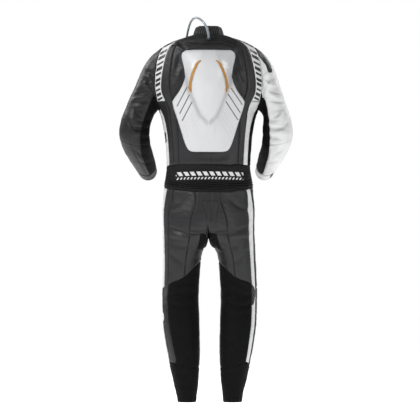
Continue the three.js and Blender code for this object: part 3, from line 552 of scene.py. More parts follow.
def knit_material(name, base):
    """Knit with upright ribs round the neck, with painted highlights on the rib crests."""
    shader = Shader(name)
    turn = shader.axis("X").math("ARCTAN2", shader.axis("Y") - NECK["middle"])
    ribs = (turn * 60).wave(9.5)
    yarn = shader.noise(0.8, 3.0)
    cloud = shader.noise(14, 3.0)
    rows = shader.axis("Z").wave(1.5)
    shade = shader.mix(yarn * 0.6 + cloud * 0.4, tint(base, 0.6), tint(base, 2.0))
    # Painted highlights: the rib crests are painted much lighter than the knit between them.
    shade = shader.mix(shader.ramp(ribs, 0.4, 0.9), shade, tint(base, 14.0))
    normal = shader.bump(ribs, 0.8)
    normal = shader.bump(rows * 0.5 + yarn * 0.5, 0.35, normal)
    return shader.finish(base_color=shade, roughness=yarn * 0.15 + 0.68, normal=normal,
                         specular_ior_level=0.25)


def hump_material(name, base, slot_colour):
    """Satin shell of the hump: scuffed a little, with dark slots, a fine dark edge round the shell, and
    painted shade along the edge of its raised middle.
    """
    shader = Shader(name)
    x = shader.axis("X")
    z = shader.axis("Z")
    slot = x.capsule(z, *HUMP_SLOTS[0])
    for line in HUMP_SLOTS[1:]:
        slot = slot.math("MINIMUM", x.capsule(z, *line))
    slot = slot - 1.7
    wide = x.math("ABSOLUTE")
    emboss = wide.capsule(z, *HUMP_LINES[0])
    for line in HUMP_LINES[1:]:
        emboss = emboss.math("MINIMUM", wide.capsule(z, *line))
    seam = shader.attribute("seam")
    cloud = shader.noise(60, 4.0)
    grain = shader.noise(1.6, 2.0)
    shade = shader.mix(cloud, tint(base, 0.93), tint(base, 1.05))
    # Painted shade along the edge of the raised middle, strongest just outside it on the lower shell.
    shade = shader.mix(shader.attribute("ridge").near(-3.0, 15.0) * 0.6, shade, tint(base, 0.55))
    shade = shader.mix(shader.ramp(slot, 0.5, -0.3), shade, slot_colour)
    shade = shader.mix(seam.near(0.0, 2.2) * 0.75, shade, tint(slot_colour, 0.7))
    normal = shader.bump(shader.ramp(slot, -0.6, 1.2) - emboss.near(0.0, 2.2) * 0.6, 1.2)
    normal = shader.bump(grain, 0.12, normal)
    roughness = cloud * 0.14 + grain * 0.06 + 0.3
    return shader.finish(base_color=shade, roughness=roughness, normal=normal, coat_weight=cloud * 0.15)


def trim_material(name, base):
    shader = Shader(name)
    weave = (shader.axis("X") + shader.axis("Z")).wave(1.2)
    cloud = shader.noise(9, 3.0)
    shade = shader.mix(cloud * 0.7 + weave * 0.3, tint(base, 0.7), tint(base, 1.3))
    return shader.finish(base_color=shade, roughness=cloud * 0.2 + 0.38, normal=shader.bump(weave, 0.15))


def hose_material(name, base):
    """Milky clear hose: smoother and brighter along its ridged wall, with a faint haze inside."""
    shader = Shader(name)
    haze = shader.noise(12, 3.0)
    rings = (shader.axis("X") + shader.axis("Z") * 1.4).wave(5.0)
    shade = shader.mix(haze * 0.7 + rings * 0.3, tint(base, 0.75), tint(base, 1.35))
    return shader.finish(base_color=shade, roughness=haze * 0.15 + 0.16, transmission_weight=0.35,
                         normal=shader.bump(rings, 0.12))


def plastic_material(name, base):
    shader = Shader(name)
    grain = shader.noise(1.1, 3.0)
    cloud = shader.noise(10, 3.0)
    shade = shader.mix(cloud, tint(base, 0.8), tint(base, 1.4))
    return shader.finish(base_color=shade, roughness=grain * 0.15 + 0.36, normal=shader.bump(grain, 0.1))


def metal_material(name, base):
    shader = Shader(name)
    brushed = shader.noise(0.6, 3.0, (1, 1, 0.15))
    cloud = shader.noise(5, 3.0)
    shade = shader.mix(cloud, tint(base, 0.75), tint(base, 1.15))
    return shader.finish(base_color=shade, metallic=cloud * 0.04 + 0.95, roughness=brushed * 0.2 + 0.24,
                         normal=shader.bump(brushed, 0.08))


def stage_material(name, base):
    shader = Shader(name)
    cloud = shader.noise(700, 2.0)
    shade = shader.mix(cloud, tint(base, 0.985), tint(base, 1.0))
    return shader.finish(base_color=shade, roughness=cloud * 0.1 + 0.8, emission_color=shade,
                         emission_strength=0.95)


def panel_material(node):
    """The finish of one cloth panel, from the slot of its CAD node."""
    chosen = settings()
    black, white, stretch = chosen.black_leather, chosen.white_leather, chosen.black_stretch
    slot = SLOTS[node]
    if node == "lumbar_band":
        return lumbar_material(node, stretch, white)
    if node.startswith("armhole_strip"):
        return strip_material(node, white, black)
    if node == "yoke_back":
        return leather_material(node, tint(black, 0.5), tint(black, 0.2), white)
    if node in ("sleeve_left", "forearm_left", "shoulder_left", "shoulder_right"):
        return leather_material(node, tint(black, 0.62), tint(black, 0.2), white)
    if slot == "leather_white":
        return leather_material(node, white, tint(black, 1.5), black)
    if slot == "leather_black":
        return leather_material(node, black, tint(black, 0.35), white)
    if slot == "knit_black":
        return knit_material(node, stretch)
    return stretch_material(node, stretch, 3.0)


# Modelling


def only(*objects):
    """Selects these objects alone, the first as the active one."""
    if bpy.context.object and bpy.context.object.mode != "OBJECT":
        bpy.ops.object.mode_set(mode="OBJECT")
    bpy.ops.object.select_all(action="DESELECT")
    for piece in objects:
        piece.hide_viewport = False
        piece.select_set(True)
    bpy.context.view_layer.objects.active = objects[0]


def points_of(mesh):
    spots = np.zeros(len(mesh.vertices) * 3)
    mesh.vertices.foreach_get("co", spots)
    return spots.reshape(-1, 3)


def move_points(mesh, spots):
    mesh.vertices.foreach_set("co", spots.ravel())
    mesh.update()


def normals_of(mesh):
    facing = np.zeros(len(mesh.vertices) * 3)
    mesh.vertex_normals.foreach_get("vector", facing)
    return facing.reshape(-1, 3)


def keep_attribute(mesh, name, values):
    if name in mesh.attributes:
        mesh.attributes.remove(mesh.attributes[name])
    mesh.attributes.new(name, "FLOAT", "POINT").data.foreach_set("value", values.astype(np.float32))


def copy_of(node):
    """A loose copy of a CAD node with a mesh of its own, its corners merged."""
    piece = frame["nodes"][node].copy()
    piece.data = frame["nodes"][node].data.copy()
    piece.name = node + "_made"
    for key in list(piece.keys()):
        del piece[key]
    piece.parent = None
    piece.hide_render = False
    bpy.context.collection.objects.link(piece)
    for name in [layer.name for layer in piece.data.uv_layers]:
        piece.data.uv_layers.remove(piece.data.uv_layers[name])
    only(piece)
    bpy.ops.object.mode_set(mode="EDIT")
    bpy.ops.mesh.select_all(action="SELECT")
    bpy.ops.mesh.customdata_custom_splitnormals_clear()
    bpy.ops.mesh.remove_doubles(threshold=0.00002)
    bpy.ops.object.mode_set(mode="OBJECT")
    return piece


def limb_of(node):
    """Which tube of the body a panel belongs to, so that its outer face can be told."""
    if node.startswith(("sleeve", "forearm", "cuff")):
        return "arm" + node[node.rindex("_"):]
    if node.startswith(("thigh", "knee", "calf", "shin", "ankle", "leg")):
        return "leg" + node[node.rindex("_"):]
    return "trunk"


def limb_axes():
    """The middle of each limb's cloth, slice by slice of height."""
    slices = {}
    for node in CLOTH_NODES:
        for spot in points_of(frame["nodes"][node].data):
            slices.setdefault((limb_of(node), round(spot[2] / SLICE)), []).append(spot)
    return {key: (np.min(spots, axis=0) + np.max(spots, axis=0)) / 2 for key, spots in slices.items()}


def outer_sheet(piece, axis_at):
    """Deletes a cloth solid's rim and inner sheet, so that its outer sheet is left."""
    shape = bmesh.new()
    shape.from_mesh(piece.data)
    for face in shape.faces:
        face.tag = any(WALL_EDGES[0] < edge.calc_length() < WALL_EDGES[1] for edge in face.edges)
    sheets = []
    for seed in shape.faces:
        if seed.tag:
            continue
        seed.tag = True
        sheet, queue = [seed], [seed]
        while queue:
            for edge in queue.pop().edges:
                for other in edge.link_faces:
                    if not other.tag:
                        other.tag = True
                        sheet.append(other)
                        queue.append(other)
        outward = 0.0
        for face in sheet:
            middle = face.calc_center_median()
            outward += face.calc_area() * face.normal.dot(middle - axis_at(middle))
        sheets.append((outward, sheet))
    kept = {face.index for outward, sheet in sheets if outward > 0 for face in sheet}
    if not kept:
        raise RuntimeError(f"{piece.name} has no outer sheet")
    shape.free()
    only(piece)
    bpy.ops.object.mode_set(mode="EDIT")
    bpy.ops.mesh.select_mode(type="FACE")
    bpy.ops.mesh.select_all(action="DESELECT")
    bpy.ops.object.mode_set(mode="OBJECT")
    for face in piece.data.polygons:
        face.select = face.index not in kept
    bpy.ops.object.mode_set(mode="EDIT")
    bpy.ops.mesh.delete(type="FACE")
    bpy.ops.object.mode_set(mode="OBJECT")


def refine(piece, levels):
    """Turns pairs of triangles into squares, keeping panel borders, and rounds the surface."""
    only(piece)
    bpy.ops.object.mode_set(mode="EDIT")
    bpy.ops.mesh.select_all(action="SELECT")
    bpy.ops.mesh.tris_convert_to_quads(face_threshold=math.radians(70), shape_threshold=math.radians(70),
                                       materials=True)
    bpy.ops.object.mode_set(mode="OBJECT")
    change = piece.modifiers.new("Rounding", "SUBSURF")
    change.levels = levels
    change.render_levels = levels
    bpy.ops.object.modifier_apply(modifier=change.name)
    bpy.ops.object.shade_smooth()


def border_distances(mesh):
    """How far each point is from the nearest seam or open edge, and how far along it, in metres."""
    spots = points_of(mesh)
    panels = np.zeros(len(mesh.polygons), int)
    mesh.polygons.foreach_get("material_index", panels)
    sizes = np.zeros(len(mesh.polygons), int)
    mesh.polygons.foreach_get("loop_total", sizes)
    loop_edges = np.zeros(len(mesh.loops), int)
    mesh.loops.foreach_get("edge_index", loop_edges)
    ends = np.zeros(len(mesh.edges) * 2, int)
    mesh.edges.foreach_get("vertices", ends)
    ends = ends.reshape(-1, 2)
    loop_panels = np.repeat(panels, sizes)
    lowest = np.full(len(mesh.edges), 10 ** 6)
    highest = np.full(len(mesh.edges), -1)
    uses = np.bincount(loop_edges, minlength=len(mesh.edges))
    np.minimum.at(lowest, loop_edges, loop_panels)
    np.maximum.at(highest, loop_edges, loop_panels)
    names = [slot.name for slot in mesh.materials] if mesh.materials else []
    shown = (lowest != highest) | (uses == 1)
    for first, second in FLAT_SEAMS:
        if first in names and second in names:
            pair = sorted([names.index(first), names.index(second)])
            shown &= ~((lowest == pair[0]) & (highest == pair[1]))
    border = ends[shown]
    starts, stops = spots[border[:, 0]], spots[border[:, 1]]
    runs = stops - starts
    runs /= np.linalg.norm(runs, axis=1)[:, None] + 1e-12
    middles = np.concatenate([starts, (starts + stops) / 2, stops])
    runs = np.concatenate([runs, runs, runs])
    tree = KDTree(len(middles))
    for index, middle in enumerate(middles):
        tree.insert(middle, index)
    tree.balance()
    seam = np.zeros(len(spots))
    along = np.zeros(len(spots))
    for index, spot in enumerate(spots):
        _, nearest, _ = tree.find(spot)
        run = runs[nearest]
        gap = spot - middles[nearest]
        seam[index] = np.sqrt(max(gap @ gap - (gap @ run) ** 2, 0.0))
        along[index] = spot @ run
    return seam, along


def curve_through(points, count):
    """Points along a line through two or more given ones, rounded when three are given."""
    known = np.array(points, float)
    steps = np.linspace(0, len(known) - 1, count)
    if len(known) == 3:
        half = steps / 2
        bend = 2 * known[1] - (known[0] + known[2]) / 2
        return (((1 - half) ** 2)[:, None] * known[0] + (2 * half * (1 - half))[:, None] * bend
                + (half ** 2)[:, None] * known[2])
    return np.stack([np.interp(steps, range(len(known)), known[:, axis]) for axis in range(2)], 1)


def distance_to_line(flat, line):
    """How far each point of the view lies from a line in it, and how far along the line, from 0 to 1."""
    best = np.full(len(flat), 1e9)
    share = np.zeros(len(flat))
    for index in range(len(line) - 1):
        start, run = line[index], line[index + 1] - line[index]
        part = np.clip((flat - start) @ run / (run @ run), 0, 1)
        gap = np.linalg.norm(flat - start - part[:, None] * run, axis=1)
        closer = gap < best
        best[closer] = gap[closer]
        share[closer] = (index + part[closer]) / (len(line) - 1)
    return best, share


def fold_heights(spots, facing):
    """How far each point is lifted by the drawn folds, in millimetres."""
    flat = spots[:, [0, 2]] / MM
    lift = np.zeros(len(spots))
    for side, mirrored, width, depth, *points in FOLDS:
        turned = -facing[:, 1] if side == "back" else facing[:, 1]
        seen = np.clip((turned - 0.05) / 0.4, 0, 1)
        for sign in (1, -1) if mirrored else (1,):
            line = curve_through([(x * sign, z) for x, z in points], 14)
            reach = 3 * width
            near = np.all((flat > line.min(0) - reach) & (flat < line.max(0) + reach), axis=1) & (seen > 0)
            if not near.any():
                continue
            gap, share = distance_to_line(flat[near], line)
            taper = np.sin(math.pi * np.clip(share, 0.02, 0.98)) ** 0.6
            lift[near] += depth * seen[near] * taper * np.exp(-(gap / width) ** 2)
    return lift


def slide(mesh):
    """Moves the lines of SLIDES, and the cloth beside them, along the back's surface."""
    spots, facing = points_of(mesh), normals_of(mesh)
    surface = BVHTree.FromPolygons(spots.tolist(), [list(face.vertices) for face in mesh.polygons])
    behind = np.clip(0.6 - 2 * facing[:, 1], 0, 1)
    moved = np.zeros((len(spots), 3))
    for mirrored, reach, *points in SLIDES:
        for sign in (1, -1) if mirrored else (1,):
            line = np.array([(sign * x, z) for x, z, _, _ in points], float)
            gap, share = distance_to_line(spots[:, [0, 2]] / MM, line)
            part = np.clip(1 - gap / reach, 0, 1)
            part = part * part * (3 - 2 * part) * behind
            for axis, column in ((0, 2), (2, 3)):
                ways = [point[column] for point in points]
                way = np.interp(share, np.linspace(0, 1, len(ways)), ways)
                moved[:, axis] += part * way * (sign if axis == 0 else 1)
    for index in np.flatnonzero(np.abs(moved).sum(axis=1) > 0.05):
        spots[index] = surface.find_nearest(Vector(spots[index] + moved[index] * MM))[0]
    move_points(mesh, spots)


def sewn_seams(spots, facing, seam, along):
    """Adds the seams that cross a panel of the back to the distances to its borders."""
    flat = spots[:, [0, 2]] / MM
    for points in [points for lines in SEAM_LINES.values() for points in lines]:
        line = np.array(points, float)
        gap = distance_to_line(flat, line)[0] * MM
        closer = (gap < seam) & (facing[:, 1] < -0.1)
        run = (line[-1] - line[0]) / np.linalg.norm(line[-1] - line[0])
        seam[closer] = gap[closer]
        along[closer] = flat[closer] @ run * MM
    return seam, along


def lower_waist(spots):
    """Lowers the seam above the lumbar band a little at the middle of the back."""
    x, y, z = spots.T / MM
    share = np.exp(-((z + 484) / 30) ** 2) * np.exp(-(x / 95) ** 4) * (y < 0)
    moved = spots.copy()
    moved[:, 2] -= 8 * share * MM
    return moved


def under_hump(spots):
    """How far the back sinks under the hump, in millimetres, so that it stays clear of the shell."""
    rim = points_of(frame["nodes"]["hump_shell"].data) / MM
    rows = np.round(rim[:, 2] / 12)
    levels = np.unique(rows)
    widths = np.array([np.abs(rim[rows == row, 0]).max() for row in levels])
    x, y, z = spots.T / MM
    inside = np.interp(z, levels * 12, widths, 0, 0) - np.abs(x)
    ends = np.minimum(rim[:, 2].max() - z, z - rim[:, 2].min())
    return -4.0 * np.clip((np.minimum(inside, ends) - 5) / 8, 0, 1) * (y < -20)


def soft_swell(spots, size, seed):
    """A gentle random swell with waves of about that many millimetres, from -1 to 1."""
    chance = np.random.default_rng(seed)
    swell = np.zeros(len(spots))
    for _ in range(9):
        way = chance.normal(size=3)
        way *= 2 * math.pi / (np.linalg.norm(way) * size * chance.uniform(0.7, 1.5))
        swell += np.sin(spots / MM @ way + chance.uniform(0, 6.28))
    return swell / 4


def gather_heights(spots, panels, number):
    """The rows of gathers across the lower edge of the lumbar band, in millimetres."""
    x, z = spots[:, 0] / MM, spots[:, 2] / MM
    level = z + 2.2 * np.sin(x / 17) + 1.2 * np.sin(x / 7 + 1) - x * x * 0.0004
    rows = np.cos(level * 2 * math.pi / 8.5)
    window = np.clip((LUMBAR_TOP - z) / 6, 0, 1) * np.clip((z - LUMBAR_FOOT) / 5, 0, 1)
    return 2.6 * rows * window * (panels == number)


def mark_distances(spots, facing, marks):
    """How far outside the nearest mark each point lies, in millimetres, and negative inside one."""
    flat = spots[:, [0, 2]] / MM
    away = np.full(len(spots), 50.0)
    for reach, points in marks:
        line = curve_through(points, 16)
        away = np.minimum(away, distance_to_line(flat, line)[0] - reach)
    return np.where(facing[:, 1] < 0.25, np.clip(away, -50, 50), 50.0)


def area_of(mesh):
    return sum(face.area for face in mesh.polygons)


def thicken(piece, thickness):
    only(piece)
    change = piece.modifiers.new("Thickness", "SOLIDIFY")
    change.thickness = thickness
    change.offset = -1
    bpy.ops.object.modifier_apply(modifier=change.name)
    bpy.ops.object.shade_smooth()


def declare_cloth(piece, area, tube=False):
    """Works out the width of a cloth piece's flat cut from its area and its longest side; the width is not
    passed on.
    """
    spots = points_of(piece.data)
    spread = spots.max(0) - spots.min(0)
    length = spread[2] if tube else float(np.max(spread))
    fill = 1.0 if tube else PANEL_FILL
    width = max(area / (length * fill), 0.012)


def dress(piece, node, material):
    """Gives a finished piece its material and lets it stand for a CAD node."""
    piece.name = node + "_cloth" if node in CLOTH_NODES else node + "_made"
    piece.data.materials.clear()
    piece.data.materials.append(material)
    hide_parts(node)
    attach(piece, BODY)


# Operators and the panel


class SUIT_OT_stage(bpy.types.Operator):
    """Place the camera, the lights and the pale floor"""

    bl_idname = "suit.stage"
    bl_label = "Stage"

    def execute(self, context):
        bpy.ops.object.camera_add(location=(0.0056, -CAMERA_DISTANCE, -0.652), rotation=(math.pi / 2, 0, 0))
        camera = context.object
        camera.data.sensor_width = 36
        camera.data.lens = 36 * CAMERA_DISTANCE / VIEW_WIDTH
        context.scene.camera = camera
        floor_level = CAD_BOX[0].z - 0.055
        bpy.ops.mesh.primitive_plane_add(size=1, location=(0, 0, 0))
        floor = context.object
        floor.name = "studio_floor"
        only(floor)
        bpy.ops.object.mode_set(mode="EDIT")
        bpy.ops.transform.resize(value=(14, 14, 1))
        bpy.ops.transform.translate(value=(0, 0, floor_level))
        bpy.ops.mesh.subdivide(number_cuts=3)
        bpy.ops.object.mode_set(mode="OBJECT")
        floor.data.materials.append(stage_material("studio_floor", settings().floor))
        world = bpy.data.worlds.new("studio")
        world.use_nodes = True
        nodes, links = world.node_tree.nodes, world.node_tree.links
        glow = nodes["Background"]
        glow.inputs["Color"].default_value = (0.95, 0.97, 1.0, 1)
        glow.inputs["Strength"].default_value = 0.3
        backdrop = nodes.new("ShaderNodeBackground")
        backdrop.inputs["Color"].default_value = (1, 1, 1, 1)
        choice = nodes.new("ShaderNodeMixShader")
        links.new(nodes.new("ShaderNodeLightPath").outputs["Is Camera Ray"], choice.inputs[0])
        links.new(glow.outputs[0], choice.inputs[1])
        links.new(backdrop.outputs[0], choice.inputs[2])
        links.new(choice.outputs[0], nodes["World Output"].inputs["Surface"])
        context.scene.world = world
        context.scene.view_settings.view_transform = "Standard"
        lamps = [
            ("key", (-2.6, -2.0, 2.6), 0.9, 150),
            ("fill", (2.6, -3.2, 0.3), 1.6, 50),
            ("rim_left", (-2.2, 1.6, 1.2), 1.2, 40),
            ("rim_right", (2.2, 1.8, 1.0), 1.2, 40),
        ]
        for name, place, size, power in lamps:
            bpy.ops.object.light_add(type="AREA", location=place)
            lamp = context.object
            lamp.name = name
            lamp.data.size = size
            lamp.data.energy = power
            lamp.rotation_euler = (Vector((0, 0, -0.65)) - Vector(place)).to_track_quat("-Z", "Y").to_euler()
        return {"FINISHED"}


def smooth_route(points, steps):
    """Points along a rounded line through the given ones, in metres."""
    known = [Vector(point) * MM for point in points]
    ends = [known[0] * 2 - known[1], *known, known[-1] * 2 - known[-2]]
    route = []
    for index in range(1, len(ends) - 2):
        before, start, stop, after = ends[index - 1:index + 3]
        for step in range(steps):
            part = step / steps
            route.append(0.5 * (2 * start + (stop - before) * part
                                + (2 * before - 5 * start + 4 * stop - after) * part ** 2
                                + (3 * start - before - 3 * stop + after) * part ** 3))
    return [*route, known[-1]]


class SUIT_OT_hose(bpy.types.Operator):
    """Run the drinking hose from its exit over the shoulder to the bite valve"""

    bl_idname = "suit.hose"
    bl_label = "Hose"

    def execute(self, context):
        route = smooth_route(HOSE_POINTS, HOSE_STEPS)
        bpy.ops.curve.primitive_nurbs_path_add(location=(0, 0, 0))
        hose = context.object
        hose.name = "hose_tube"
        hose.data.splines.clear()
        spline = hose.data.splines.new("POLY")
        spline.points.add(len(route) - 1)
        for spot, place in zip(spline.points, route):
            spot.co = (*place, 1)
        hose.data.dimensions = "3D"
        hose.data.bevel_depth = HOSE_DIAMETER * MM / 2
        hose.data.bevel_resolution = 6
        hose.data.use_fill_caps = True
        spline.use_smooth = True
        hose.data.materials.append(hose_material("hose_clear", settings().hose))
        length = sum((stop - start).length for start, stop in zip(route, route[1:]))
        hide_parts("hydration_hose")
        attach(hose, BODY)
        for node in ("bite_valve", "hose_exit"):
            fitting = frame["nodes"][node]
            fitting.data.materials.clear()
            fitting.data.materials.append(plastic_material(node, (0.02, 0.02, 0.022)))
        return {"FINISHED"}


class SUIT_OT_cloth(bpy.types.Operator):
    """Sew the panels of leather and stretch cloth, with their seams and folds"""

    bl_idname = "suit.cloth"
    bl_label = "Cloth"

    def execute(self, context):
        chosen = settings()
        axes = limb_axes()
        panels = []
        for node in CLOTH_NODES:
            limb = limb_of(node)
            piece = copy_of(node)
            outer_sheet(piece, lambda spot, limb=limb: Vector(axes[limb, round(spot.z / SLICE)])
                        if (limb, round(spot.z / SLICE)) in axes else spot)
            piece.data.materials.clear()
            piece.data.materials.append(panel_material(node))
            panels.append(piece)
        only(*panels)
        bpy.ops.object.join()
        suit = context.object
        bpy.ops.object.mode_set(mode="EDIT")
        bpy.ops.mesh.select_all(action="SELECT")
        bpy.ops.mesh.remove_doubles(threshold=0.0012)
        bpy.ops.object.mode_set(mode="OBJECT")
        self.close_seat(suit)
        refine(suit, chosen.smoothing)
        mesh = suit.data
        slide(mesh)
        names = [slot.name for slot in mesh.materials]
        numbers = np.zeros(len(mesh.vertices), int)
        for face in mesh.polygons:
            numbers[list(face.vertices)] = face.material_index
        for face in mesh.polygons:
            if face.material_index == names.index("seat_centre"):
                numbers[list(face.vertices)] = face.material_index
        move_points(mesh, lower_waist(points_of(mesh)))
        spots, facing = points_of(mesh), normals_of(mesh)
        seam, along = sewn_seams(spots, facing, *border_distances(mesh))
        lift = fold_heights(spots, facing) * chosen.fold_strength
        # The fold heights are kept so that the leather can paint shade into the fold troughs and highlights
        # onto the fold ridges.
        keep_attribute(mesh, "fold", lift * MM)
        lift += 0.7 * soft_swell(spots, 62, 4) + 0.35 * soft_swell(spots * np.array([0.5, 0.5, 1.2]), 21, 9)
        lift += gather_heights(spots, numbers, names.index("lumbar_band"))
        lift *= 1 - 0.6 * np.exp(-(seam / MM / 4) ** 2)
        lift += under_hump(spots)
        lift += 0.8 * np.exp(-((seam / MM - 8) / 5) ** 2)
        lift -= chosen.seam_depth / MM * np.exp(-(seam / MM / 2.4) ** 2)
        move_points(mesh, spots + facing * lift[:, None] * MM)
        keep_attribute(mesh, "seam", seam)
        keep_attribute(mesh, "along", along)
        self.part_panels(suit, chosen)
        return {"FINISHED"}

    def close_seat(self, suit):
        """Draws the seat together between the legs, down to its lower edge, as one flat panel.

        Each of its points is found by where the CAD nodes have it: the dip in the middle, then the rows of
        points beside it from the top down.
        """
        names = [slot.name for slot in suit.data.materials]
        dips = [spot for spot in suit.data.vertices if abs(spot.co.x) < 0.002 and -0.1 < spot.co.y < -0.06
                and -0.735 < spot.co.z < -0.715]
        if len(dips) != 1:
            raise RuntimeError(f"{len(dips)} points were found in the dip under the seat, not 1")
        dips[0].co = Vector((0, -0.118, -0.731))
        for spot in suit.data.vertices:
            x, y, z = spot.co
            if 0.001 < abs(x) < 0.006 and -0.128 < y < -0.11 and -0.722 < z < -0.71:
                spot.co.y = -0.123
            elif 0.005 < abs(x) < 0.012 and -0.11 < y < -0.1 and -0.748 < z < -0.735:
                spot.co = Vector((x, -0.113, -0.736))
            elif abs(x) < 0.005 and -0.08 < y < -0.07 and -0.75 < z < -0.74:
                spot.co = Vector((x, -0.102, -0.737))
        for face in suit.data.polygons:
            behind = face.center.y < -0.085 and face.center.z > -0.741
            if behind and names[face.material_index] == "crotch_gusset":
                face.material_index = names.index("seat_centre")

    def part_panels(self, suit, chosen):
        """One thick piece for each panel, standing for its CAD node."""
        before = set(bpy.data.objects)
        only(suit)
        bpy.ops.object.mode_set(mode="EDIT")
        bpy.ops.mesh.select_all(action="SELECT")
        bpy.ops.mesh.separate(type="MATERIAL")
        bpy.ops.object.mode_set(mode="OBJECT")
        pieces = [suit, *(set(bpy.data.objects) - before)]
        if len(pieces) != len(CLOTH_NODES):
            raise RuntimeError(f"{len(pieces)} panels were parted, not {len(CLOTH_NODES)}")
        for piece in pieces:
            material = piece.data.materials[piece.data.polygons[0].material_index]
            node = material.name
            spots, facing = points_of(piece.data), normals_of(piece.data)
            keep_attribute(piece.data, "mark", mark_distances(spots, facing, MARKS.get(node, [])) * MM)
            area = area_of(piece.data)
            thicken(piece, chosen.cloth_thickness)
            dress(piece, node, material)
            declare_cloth(piece, area, tube=node.startswith(("ankle", "cuff")))


class SUIT_OT_collar(bpy.types.Operator):
    """Round the ribbed stand collar"""

    bl_idname = "suit.collar"
    bl_label = "Collar"

    def execute(self, context):
        collar = copy_of("collar")
        area = area_of(collar.data) / 2
        refine(collar, 1)
        spots = points_of(collar.data)
        turn = np.arctan2(np.abs(spots[:, 0]), -(spots[:, 1] - NECK["middle"] * MM))
        base = NECK["level"] - NECK["drop"] * ((1 - np.cos(turn)) / 2) ** 3
        share = np.clip((spots[:, 2] / MM - base) / NECK["height"], 0, 1)
        spots[:, 2] -= 4.5 * MM * (1 - share) ** 2
        move_points(collar.data, spots)
        dress(collar, "collar", knit_material("collar", settings().black_stretch))
        declare_cloth(collar, area * 0.9, tube=True)
        return {"FINISHED"}


class SUIT_OT_hump(bpy.types.Operator):
    """Shape the satin hump and its curved trims"""

    bl_idname = "suit.hump"
    bl_label = "Hump"

    def execute(self, context):
        chosen = settings()
        hump = copy_of("hump_shell")
        outer_sheet(hump, lambda spot: spot + Vector((0, 0.1, 0)))
        hump.data.materials.clear()
        self.sharpen_corners(hump)
        refine(hump, 3)
        mesh = hump.data
        spots, facing = points_of(mesh), normals_of(mesh)
        tree = KDTree(len(spots))
        for index, spot in enumerate(spots):
            tree.insert(spot, index)
        tree.balance()
        shell = BVHTree.FromPolygons(spots.tolist(), [list(face.vertices) for face in mesh.polygons])
        seam = border_distances(mesh)[0]
        flat = np.abs(spots[:, [0, 2]]) * np.array([1, -1]) / MM
        gap, share = distance_to_line(flat, curve_through(HUMP_RIDGE, 30))
        inner = flat[:, 0] < np.interp(-flat[:, 1], [-z for _, z in HUMP_RIDGE], [x for x, _ in HUMP_RIDGE])
        fade = np.sin(math.pi * np.clip(share, 0, 1)) ** 0.5
        lift = fade * np.where(inner, 3.4 * np.exp(-(gap / 9) ** 2), -3.0 * np.exp(-(gap / 7) ** 2))
        lift += 0.5 * np.exp(-((seam / MM - 5) / 3) ** 2) - 0.6 * np.exp(-(seam / MM / 2) ** 2)
        push = facing * lift[:, None] * MM
        push[:, 2] -= HUMP_DROP * MM * np.clip((spots[:, 2] + 0.13) / 0.08, 0, 1)
        move_points(mesh, spots + push)
        keep_attribute(mesh, "seam", seam)
        # The signed distance from the raised middle's edge, positive inside it; the hump's material paints
        # shade along that edge from it.
        keep_attribute(mesh, "ridge", np.where(inner, gap, -gap) * MM)
        area = area_of(mesh)
        thicken(hump, HUMP_WALL * MM)
        dress(hump, "hump_shell", hump_material("hump_white", (0.5, 0.5, 0.505), (0.10, 0.10, 0.105)))
        declare_cloth(hump, area)
        for side in ("left", "right"):
            node = "hump_trim_" + side
            trim = copy_of(node)
            only(trim)
            change = trim.modifiers.new("Rounding", "SUBSURF")
            change.levels = 3
            change.render_levels = 3
            bpy.ops.object.modifier_apply(modifier=change.name)
            bpy.ops.object.shade_smooth_by_angle(angle=math.radians(40))
            places = self.shift_trim(points_of(trim.data), shell)
            nearest = [tree.find(place)[1] for place in places]
            move_points(trim.data, places + push[nearest] + facing[nearest] * 0.0004)
            dress(trim, node, trim_material(node, chosen.trim))
        return {"FINISHED"}

    def shift_trim(self, places, shell):
        """Widens a trim and lowers its top end, at the same height above the shell."""
        depth = [place[1] - self.shell_level(shell, place) for place in places]
        x, z = places[:, 0], places[:, 2]
        share = (z - z.min()) / (z.max() - z.min())
        steps = np.linspace(0, 1, 15)
        middles = [x[np.abs(share - step) < 0.05].mean() for step in steps]
        bend = np.polyval(np.polyfit(steps, middles, 3), share)
        places = places.copy()
        beside = (x - np.interp(share, steps, middles)) * TRIM_WIDENING
        places[:, 0] = bend + beside - np.sign(x) * TRIM_INWARD * MM * share
        places[:, 2] = z.min() + (z - z.min()) * TRIM_HEIGHT
        places[:, 1] = [self.shell_level(shell, place) + rise for place, rise in zip(places, depth)]
        return places

    def shell_level(self, shell, place):
        """The y at which the shell lies behind a place."""
        hit = shell.ray_cast(Vector((place[0], -1, place[2])), Vector((0, 1, 0)))[0]
        if hit is None:
            raise RuntimeError("a trim reaches past the hump's shell")
        return hit.y

    def sharpen_corners(self, hump):
        """Keeps the corners of the shell's outline sharp when it is rounded."""
        sharp = hump.data.attributes.new("crease_vert", "FLOAT", "POINT")
        for x, z in HUMP_CORNERS:
            corner = Vector((x * MM, 0, z * MM))
            nearest = min(hump.data.vertices, key=lambda spot: (spot.co * Vector((1, 0, 1)) - corner).length)
            sharp.data[nearest.index].value = 0.8


